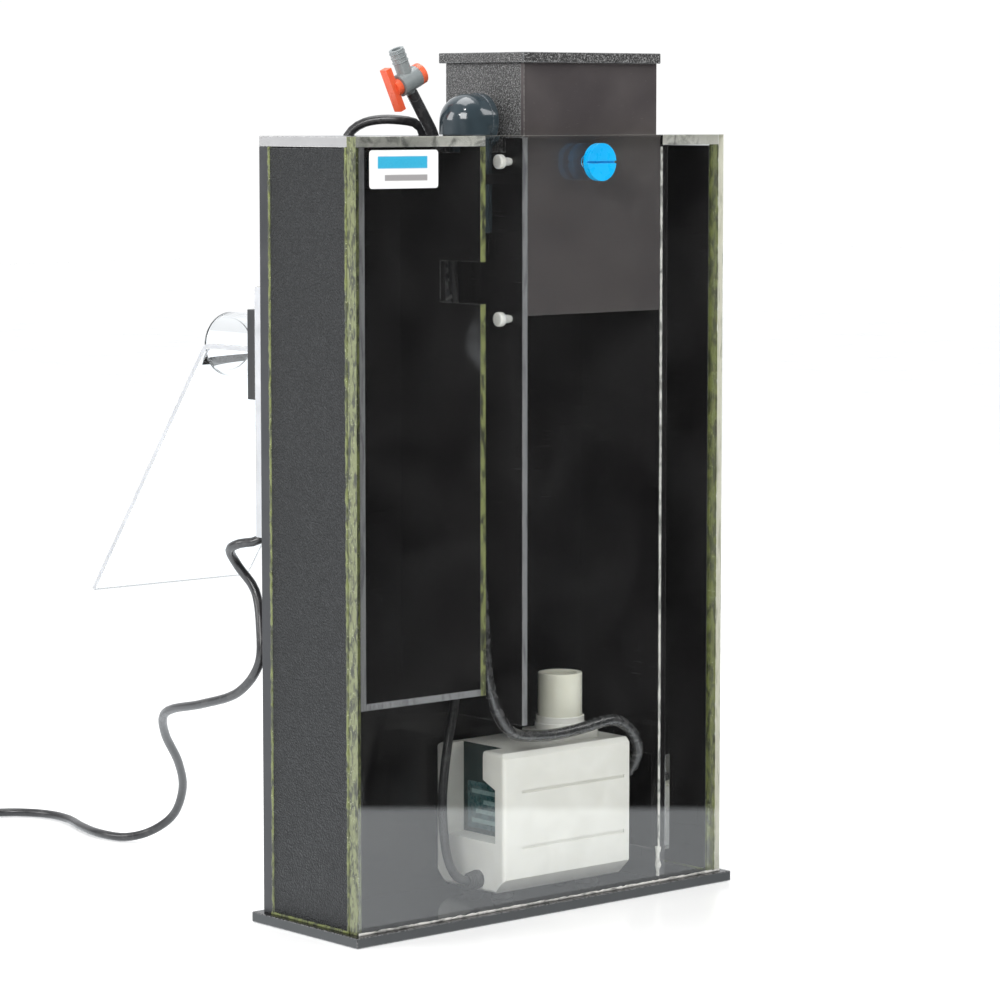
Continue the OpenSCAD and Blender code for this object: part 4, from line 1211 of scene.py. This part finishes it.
@dataclass
class ReturnChute:
    """The bent clear chute in its two grooved brackets on spacer strips."""

    shop: Workshop
    near: float = 0.044
    far: float = 0.050

    def build(self) -> None:
        """Makes the strips, brackets and chute."""
        strips = self.shop.traced("spacer_strips", "spacer_strips_piece", 0.0003)
        for vertex in strips.data.vertices:
            if vertex.co.y < self.near + 0.0001:
                vertex.co.y += 0.00006
            elif vertex.co.y > self.far - 0.0001:
                vertex.co.y -= 0.00006
        strips.data.materials.append(self.shop.paints.of(Slot.CLEAR_ACRYLIC))
        strips.data.materials.append(self.shop.paints.of(SAWN_PALE))
        for face in strips.data.polygons:
            face.material_index = int(abs(face.normal.x) > 0.5)
        self.shop.hand_over(strips, Body.CASE, Slot.CLEAR_ACRYLIC, "spacer_strips")
        self.shop.dress("chute_brackets", 0.0004, 2)
        self.shop.dress("return_chute", 0.0003, 2, [(facing(0, -1, beyond=0.5), SAWN_PALE),
                                                    (facing(0, 1, beyond=0.5), SAWN_PALE)])


@dataclass
class FoamCup:
    """The lift-out cup with its lid, its stop screws and the blue locking screw."""

    shop: Workshop
    stop_heads: tuple[float, float] = (0.350, 0.441)

    def build(self) -> None:
        """Makes the cup's pieces."""
        dress = self.shop.dress
        inside = FINISHES[Slot.SMOKED_ACRYLIC]
        dress("cup_shell", 0.0004, 2, [(facing(2, 1), inside), (facing(1, -1), inside)])
        dress("cup_front", 0.0003, 2)
        dress("foam_slope", 0.0002, 1)
        dress("cup_lid", 0.0005, 3)
        dress("lid_rim", 0.0003, 2)
        dress("cup_stop_screws", 0.0009, 3)
        for index, height in enumerate(self.stop_heads):
            self.shop.rings(f"stop_screw_thread_{index + 1}", Slot.WHITE_NYLON,
                            Vector((-0.0205, -0.025, height)), Vector((1, 0, 0)), 6, 0.0008,
                            (0.0021, 0.0021), 0.00028)
        dress("lock_screw", 0.0005, 3)


@dataclass
class Pump:
    """The needle-wheel pump: housing, suction cover, outlet, rotor and feet."""

    shop: Workshop
    low: Point = (-0.024, -0.030, 0.011)
    high: Point = (0.072, 0.032, 0.095)
    soft_edge: float = 0.0024

    def build(self) -> None:
        """Makes the pump's pieces."""
        dress = self.shop.dress
        dress("pump_housing", 0.0004, 2, [(facing(0, -1, self.low[0] + 0.015),
                                           FINISHES[Slot.POTTING])], shell=self.shell())
        dress("motor_block", 0.0003, 1)
        dress("pump_label", 0.00005, 1)
        dress("suction_cover", 0.0003, 2)
        dress("cover_seal", 0.0003, 2)
        dress("outlet_flange", 0.0005, 3)
        dress("outlet_stub", 0.0006, 3)
        self.screws()
        self.feet()
        self.rotor()

    def shell(self) -> bpy.types.Object:
        """A box with soft edges round the housing, which the housing is trimmed to."""
        bm = bmesh.new()
        bmesh.ops.create_cube(bm, size=1.0)
        low, high = Vector(self.low), Vector(self.high)
        for vertex in bm.verts:
            vertex.co = Vector((low + high) / 2 + Vector(
                (c * s for c, s in zip(vertex.co, high - low))))
        edges = [e for e in bm.edges if min(v.co.x for v in e.verts) < high.x - 1e-4]
        bmesh.ops.bevel(bm, geom=edges, offset=self.soft_edge, offset_type="OFFSET",
                        segments=4, profile=0.5, affect="EDGES")
        mesh = bpy.data.meshes.new("pump_shell")
        bm.to_mesh(mesh)
        bm.free()
        return piece_of("pump_shell", mesh)

    def screws(self) -> None:
        """Four domed screws with cross recesses in the suction cover."""
        master = lathe("screw_master", [(0, -0.004), (0.0016, -0.004), (0.0016, 0),
                                        (0.0030, 0), (0.0030, 0.0009), (0.0026, 0.0016),
                                        (0.0016, 0.002), (0, 0.002)],
                       Vector((0, 0, 0)), Vector((1, 0, 0)), 24)
        for across in ((0.0004, 0.0018), (0.0018, 0.0004)):
            bm = bmesh.new()
            bmesh.ops.create_cube(bm, size=2.0)
            for vertex in bm.verts:
                vertex.co = Vector((0.002 + vertex.co.x * 0.0008, vertex.co.y * across[0],
                                    vertex.co.z * across[1]))
            mesh = bpy.data.meshes.new("recess")
            bm.to_mesh(mesh)
            bm.free()
            carved(master, piece_of("recess", mesh), "DIFFERENCE")
        weighted(master, 40.0)
        spots = [(self.high[0] + 0.004, y, z) for y in (self.low[1] + 0.009, self.high[1] - 0.009)
                 for z in (self.low[2] + 0.012, self.high[2] - 0.010)]
        piece = self.shop.station.run(mesh_of("cover_screws_piece", spots), Master=master,
                                      Material=self.shop.paints.of(Slot.STEEL))
        dropped(master)
        self.shop.hand_over(piece, Body.CASE, Slot.STEEL, "cover_screws")

    def feet(self) -> None:
        """Four stepped rubber feet."""
        master = lathe("foot_master", [(0, 0), (0.0066, 0), (0.007, 0.0005), (0.0068, 0.0014),
                                       (0.006, 0.0024), (0.0054, 0.0036), (0.005, 0.005),
                                       (0, 0.005)],
                       Vector((0, 0, 0)), Vector((0, 0, 1)), 32)
        spots = [(x, y, self.low[2] - 0.005) for x in (self.low[0] + 0.014, self.high[0] - 0.014)
                 for y in (self.low[1] + 0.018, self.high[1] - 0.018)]
        piece = self.shop.station.run(mesh_of("pump_feet_piece", spots), Master=master,
                                      Material=self.shop.paints.of(Slot.RUBBER))
        dropped(master)
        self.shop.hand_over(piece, Body.CASE, Slot.RUBBER, "pump_feet")

    def rotor(self) -> None:
        """Magnet, fixed shaft, bushes and the needle wheel with its rings of pins."""
        dress = self.shop.dress
        dress("rotor_magnet", 0.0005, 2)
        dress("rotor_shaft", 0.0002, 2)
        dress("shaft_bushes", 0.0002, 1)
        dress("needle_wheel", 0.0001, 1)
        low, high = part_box("needle_wheel")
        piece = self.shop.pin.run(mesh_of("needle_wheel_tips", [(0, 0, 0)]), Pins=12, Rings=2,
                                  First_Radius=0.0105, Ring_Pitch=0.005, Twist=0.25,
                                  Pin_Radius=0.0006, Pin_Length=0.0085,
                                  Material=self.shop.paints.of(Slot.IMPELLER_PLASTIC))
        turn = Vector((0, 0, 1)).rotation_difference(Vector((1, 0, 0))).to_matrix().to_4x4()
        middle = (low + high) / 2
        piece.data.transform(Matrix.Translation((low.x + 0.0052, middle.y, middle.z)) @ turn)
        self.shop.hand_over(piece, Body.ROTOR, Slot.IMPELLER_PLASTIC)


@dataclass
class AirLine:
    """The air valve, its hose and the nipple on the pump."""

    shop: Workshop
    valve: Point = (-0.0584, 0.012, 0.4873)
    lean: float = 25.0
    diameter: float = 0.007
    route: Sequence[Point] = (
        (-55.3, 12, 480.8), (-50.2, 12, 473.2), (-44.5, 12.3, 465), (-38.9, 12.8, 456.5),
        (-35.8, 13.6, 446), (-35, 14, 430), (-35, 15, 405), (-36, 10, 372), (-35, 0, 330),
        (-34, -10, 280), (-34, -18, 225), (-35, -24, 180), (-35.5, -27, 152), (-34, -28, 138),
        (-29.5, -29, 123), (-22, -29, 111.5), (-13, -28.5, 105.8), (0, -28, 103.6),
        (14, -27.3, 102.5), (28, -27, 102.8), (42, -27, 104), (55, -27, 105.8), (66, -27, 106),
        (75, -26.5, 102.5), (83, -26.5, 95), (86.5, -26, 87), (86.8, -24.5, 79.5),
        (85.2, -20.3, 72.5), (83.4, -14.8, 66.8), (83, -10.2, 62.2))

    def build(self) -> None:
        """Makes the valve, the nipple and the hose."""
        self.shop.dress("valve_body", 0.0004, 2)
        self.shop.dress("valve_plug", 0.0006, 3)
        self.shop.dress("air_nipple", 0.0002, 2)
        lean = math.radians(self.lean)
        up = Vector((-math.sin(lean), 0, math.cos(lean)))
        self.shop.rings("valve_barbs", Slot.VALVE_GREY, Vector(self.valve) + up * 0.0125, up,
                        3, 0.0028, (0.0046, 0.0045), 0.00035)
        self.hose()

    def hose(self) -> None:
        """The hose from the valve down to the pump."""
        line = smooth_route(self.route, 4.0)
        hose = tube_curve("air_hose_run", line, self.diameter,
                          self.shop.paints.of(Slot.HOSE_RUBBER))
        self.shop.hand_over(hose, Body.CASE, Slot.HOSE_RUBBER, "air_hose")


@dataclass
class MainsLead:
    """The pump's mains lead: gland, run over the case, coil, tie and plug."""

    shop: Workshop
    diameter: float = 0.0055
    coil_centre: tuple[float, float] = (-112.0, 461.0)
    coil_outer: float = 33.2
    coil_inner: float = 26.4
    coil_turns: int = 4
    route: Sequence[Point] = (
        (-33, -7, 18), (-40, -6, 21), (-44, -3, 31), (-45, 0, 48), (-44, 2, 70), (-38.5, 4, 98),
        (-30.5, 6, 128), (-26, 9, 165), (-25, 12, 250), (-24, 14, 340), (-24.5, 16.5, 390),
        (-27.5, 19.4, 415), (-31.8, 21.4, 432), (-36.2, 21.8, 445.5), (-37.6, 22.4, 455.3),
        (-39.4, 22.9, 460.2), (-43.5, 23.9, 463.4), (-51.2, 28, 464.9), (-58.6, 35.2, 465.2),
        (-65.3, 42.8, 463.4), (-70.3, 48.4, 458.9), (-74.1, 51.4, 451), (-77.8, 51.8, 441),
        (-82.5, 49.9, 427),
        (-86.5, 48, 408), (-88, 47.2, 385), (-88, 47.2, 340), (-90, 47.2, 295), (-99, 48, 262),
        (-115, 50, 237), (-134, 55, 223), (-142, 65, 220), (-140, 77, 215), (-130, 82, 204),
        (-124, 74, 190), (-128, 64, 170), (-131, 62, 148), (-130, 84, 129), (-129, 120, 118),
        (-124, 157, 110), (-114, 181, 101), (-97, 202, 85), (-73, 222, 63), (-56, 241, 42),
        (-48, 262, 21), (-52, 281, 8), (-62, 296, 3), (-67, 318, 3), (-62, 345, 3),
        (-54, 372, 3), (-55, 396, 3), (-68, 416, 3), (-90, 426, 3), (-112, 425, 3))

    def build(self) -> None:
        """Makes the lead and the pieces on it."""
        shop = self.shop
        gland = shop.dress("cord_gland", 0.0003, 2)
        ribs = shop.rings("cord_gland_ribs", Slot.CORD_JACKET, Vector((-0.0262, -0.007, 0.018)),
                          Vector((-1, 0, 0)), 4, 0.0017, (0.0051, 0.0042), 0.00045)
        plug = shop.dress("plug_body", 0.002, 4)
        grips = shop.beads("plug_grips", FINISHES[Slot.PLUG_BLACK], 0.0006,
                           *[[(-176, y, 14), (-154, y, 14)] for y in (456, 460, 464, 468)],
                           lump=0.02, slot=Slot.PLUG_BLACK)
        pins = shop.dress("plug_pins", 0.0006, 3)
        tie = shop.dress("cord_tie", 0.0005, 2)
        line = self.line()
        lead = tube_curve("power_lead", line, self.diameter,
                          shop.paints.of(Slot.CORD_JACKET))
        shop.hand_over(lead, Body.CASE, Slot.CORD_JACKET, "power_cord", "cord_coil")

    def line(self) -> list[Vector]:
        """The lead's centreline: the run, the coil and the tail into the plug."""
        run = smooth_route(self.route, 4.0)
        cx, cy = self.coil_centre
        steps = 48
        coil: list[Vector] = []
        # out to in on the floor, then in to out on top
        stations = [(36.0, 3.0), (self.coil_outer, 3.0), (self.coil_inner, 3.0),
                    (self.coil_inner + 1.0, 8.9), (self.coil_outer, 8.9)]
        for turn in range(self.coil_turns):
            (r0, z0), (r1, z1) = stations[turn], stations[turn + 1]
            for k in range(1, steps + 1):
                share = k / steps
                ease = share * share * (3 - 2 * share)
                angle = -math.pi / 2 - math.tau * share
                reach = r0 + (r1 - r0) * ease
                coil.append(Vector((cx + reach * math.cos(angle), cy + reach * math.sin(angle),
                                    z0 + (z1 - z0) * ease)) * MM)
        y = cy - self.coil_outer
        tail = [(cx - 10, y, 8.8), (cx - 20, y + 0.3, 8.4), (cx - 30, y + 1.2, 7.6),
                (cx - 39, y + 4.6, 7.1), (cx - 46.5, y + 10.5, 7), (cx - 51, y + 18.5, 7),
                (cx - 53, y + 27, 7)]
        end = smooth_route([tuple(coil[-1] / MM), *tail], 4.0)
        return run + coil + end[1:]


@dataclass
class Studio:
    """Camera, pale floor, white surround and soft lamps."""

    eye: Point = (-1.464, -1.690, 0.472)
    turn: Point = (84.1, 0.0, -40.94)
    lens: float = 136.66
    floor_reach: float = 8.0
    floor_drop: float = 0.0004
    mirror_way: tuple[float, float] = (0.652, 0.751)
    mirror_end: tuple[float, float] = (0.35, 0.375)
    painted_reflection_glow: float = 2.4

    def build(self) -> None:
        """Makes the studio."""
        scene = bpy.context.scene
        scene.view_settings.view_transform = "Standard"
        self.camera()
        self.floor()
        self.surround()
        self.lamps()

    def camera(self) -> None:
        """The camera."""
        data = bpy.data.cameras.new("camera")
        data.lens, data.sensor_width = self.lens, 36.0
        data.clip_start, data.clip_end = 0.05, 60.0
        camera = piece_of("camera", data)
        camera.location = self.eye
        camera.rotation_euler = [math.radians(a) for a in self.turn]
        bpy.context.scene.camera = camera

    def floor(self) -> None:
        """A pale floor; in reflections it shows a painted reflection instead, a glowing band that
        ends a little way in front of the case.
        """
        r = self.floor_reach
        corners = [(-r, -r), (r, -r), (r, r), (-r, r)]
        floor = mesh_of("floor", [(x, y, -self.floor_drop) for x, y in corners],
                        faces=[(0, 1, 2, 3)])
        g = Graph("pale_floor")
        path = g.add("ShaderNodeLightPath").outputs
        cloth = g.mix(g.noise(3.0, 3.0), (0.9, 0.9, 0.9), (0.86, 0.86, 0.86))
        plain = g.plastic(cloth, g.remap(g.noise(8.0, 3.0), 0.3, 0.7, 0.16, 0.24),
                          Specular_IOR_Level=0.3, Emission_Color=(1, 1, 1, 1),
                          Emission_Strength=0.22)
        # painted reflection: this mask sets where the floor glows for glossy rays, in a band in
        # front of the case, dimmer across the floor
        x, y = g.axis("X"), g.axis("Y")
        away = g.calc("SUBTRACT", g.calc("MULTIPLY", x, self.mirror_way[0]),
                      g.calc("MULTIPLY", y, self.mirror_way[1]))
        edge = g.remap(away, *self.mirror_end, 1.0, 0.0)
        fall = g.remap(g.calc("ADD", g.calc("MULTIPLY", x, 0.75), g.calc("MULTIPLY", y, 0.65)),
                       -0.4, 0.25, 1.0, 0.55)
        front = g.calc("MAXIMUM", edge, g.remap(y, 0.0, 0.1))
        seen = g.calc("MULTIPLY", front, fall)
        # painted reflection: emission seen only by glossy rays, in place of the floor's own look
        painted_reflection = g.add("ShaderNodeEmission", {"Color": (0.93, 0.97, 1.0, 1)})
        g.tree.links.new(g.calc("MULTIPLY", seen, self.painted_reflection_glow), painted_reflection.inputs["Strength"])
        floor.data.materials.append(g.done(g.blended(path["Is Glossy Ray"], plain,
                                                     painted_reflection.outputs[0])))

    def surround(self) -> None:
        """White as seen; as mirrored, dark in front and dimmer towards the left."""
        world = bpy.data.worlds.new("surround")
        world.use_nodes = True
        bpy.context.scene.world = world
        tree = world.node_tree
        tree.nodes.clear()

        def add(kind: str, inputs: dict | None = None, **settings: object) -> bpy.types.Node:
            """Adds a node to the world's tree."""
            return add_node(tree, kind, inputs, **settings)

        path = add("ShaderNodeLightPath").outputs
        way = add("ShaderNodeSeparateXYZ",
                  {0: add("ShaderNodeTexCoord").outputs["Generated"]}).outputs
        back = add("ShaderNodeMapRange", {0: way["Y"], 1: -0.45, 2: 0.15, 3: 0.012, 4: 1.0})
        left = add("ShaderNodeMapRange", {0: way["X"], 1: -0.35, 2: 0.1, 3: 0.5, 4: 1.0})
        strength = add("ShaderNodeMath", {0: back.outputs[0], 1: left.outputs[0]},
                       operation="MULTIPLY")
        seen = add("ShaderNodeBackground", {"Color": (1, 1, 1, 1), "Strength": 1.02})
        soft = add("ShaderNodeBackground", {"Color": (1, 1, 1, 1), "Strength": 0.62})
        mirrored = add("ShaderNodeBackground", {"Color": (0.96, 0.98, 1, 1),
                                                "Strength": strength.outputs[0]})
        lit = add("ShaderNodeMixShader", {0: path["Is Diffuse Ray"], 1: seen.outputs[0],
                                          2: soft.outputs[0]})
        all_round = add("ShaderNodeMixShader", {0: path["Is Glossy Ray"], 1: lit.outputs[0],
                                                2: mirrored.outputs[0]})
        add("ShaderNodeOutputWorld", {"Surface": all_round.outputs[0]})

    def lamps(self) -> None:
        """Soft boxes at the left, in front and overhead, and two small bright ones."""
        for name, spot, size, power in (
                ("box_front", (-1.9, -1.3, 1.5), 1.1, 34.0),
                ("box_left", (-1.8, 0.9, 1.1), 1.0, 16.0),
                ("box_right", (1.4, -1.2, 1.6), 0.8, 8.0),
                ("box_top", (0.0, 0.2, 2.1), 1.2, 18.0),
                ("spark_high", (-0.9, -0.7, 1.9), 0.14, 3.0),
                ("spark_low", (-1.6, -0.5, 1.3), 0.14, 3.0)):
            data = bpy.data.lights.new(name, "AREA")
            data.size, data.energy = size, power
            lamp = piece_of(name, data)
            lamp.location = spot
            aim = Vector((0, 0, 0.25)) - Vector(spot)
            lamp.rotation_euler = aim.to_track_quat("-Z", "Y").to_euler()


def main() -> None:
    """Loads the frame, builds the studio and the object."""
    logging.basicConfig(level=logging.INFO, format="%(name)s: %(message)s")
    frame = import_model()
    Studio().build()
    shop = Workshop(frame)
    MainsLead(shop).build()
    AirLine(shop).build()
    Case(shop).build()
    Pipework(shop).build()
    ReturnChute(shop).build()
    FoamCup(shop).build()
    Pump(shop).build()
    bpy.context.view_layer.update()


if __name__ == "__main__":
    main()
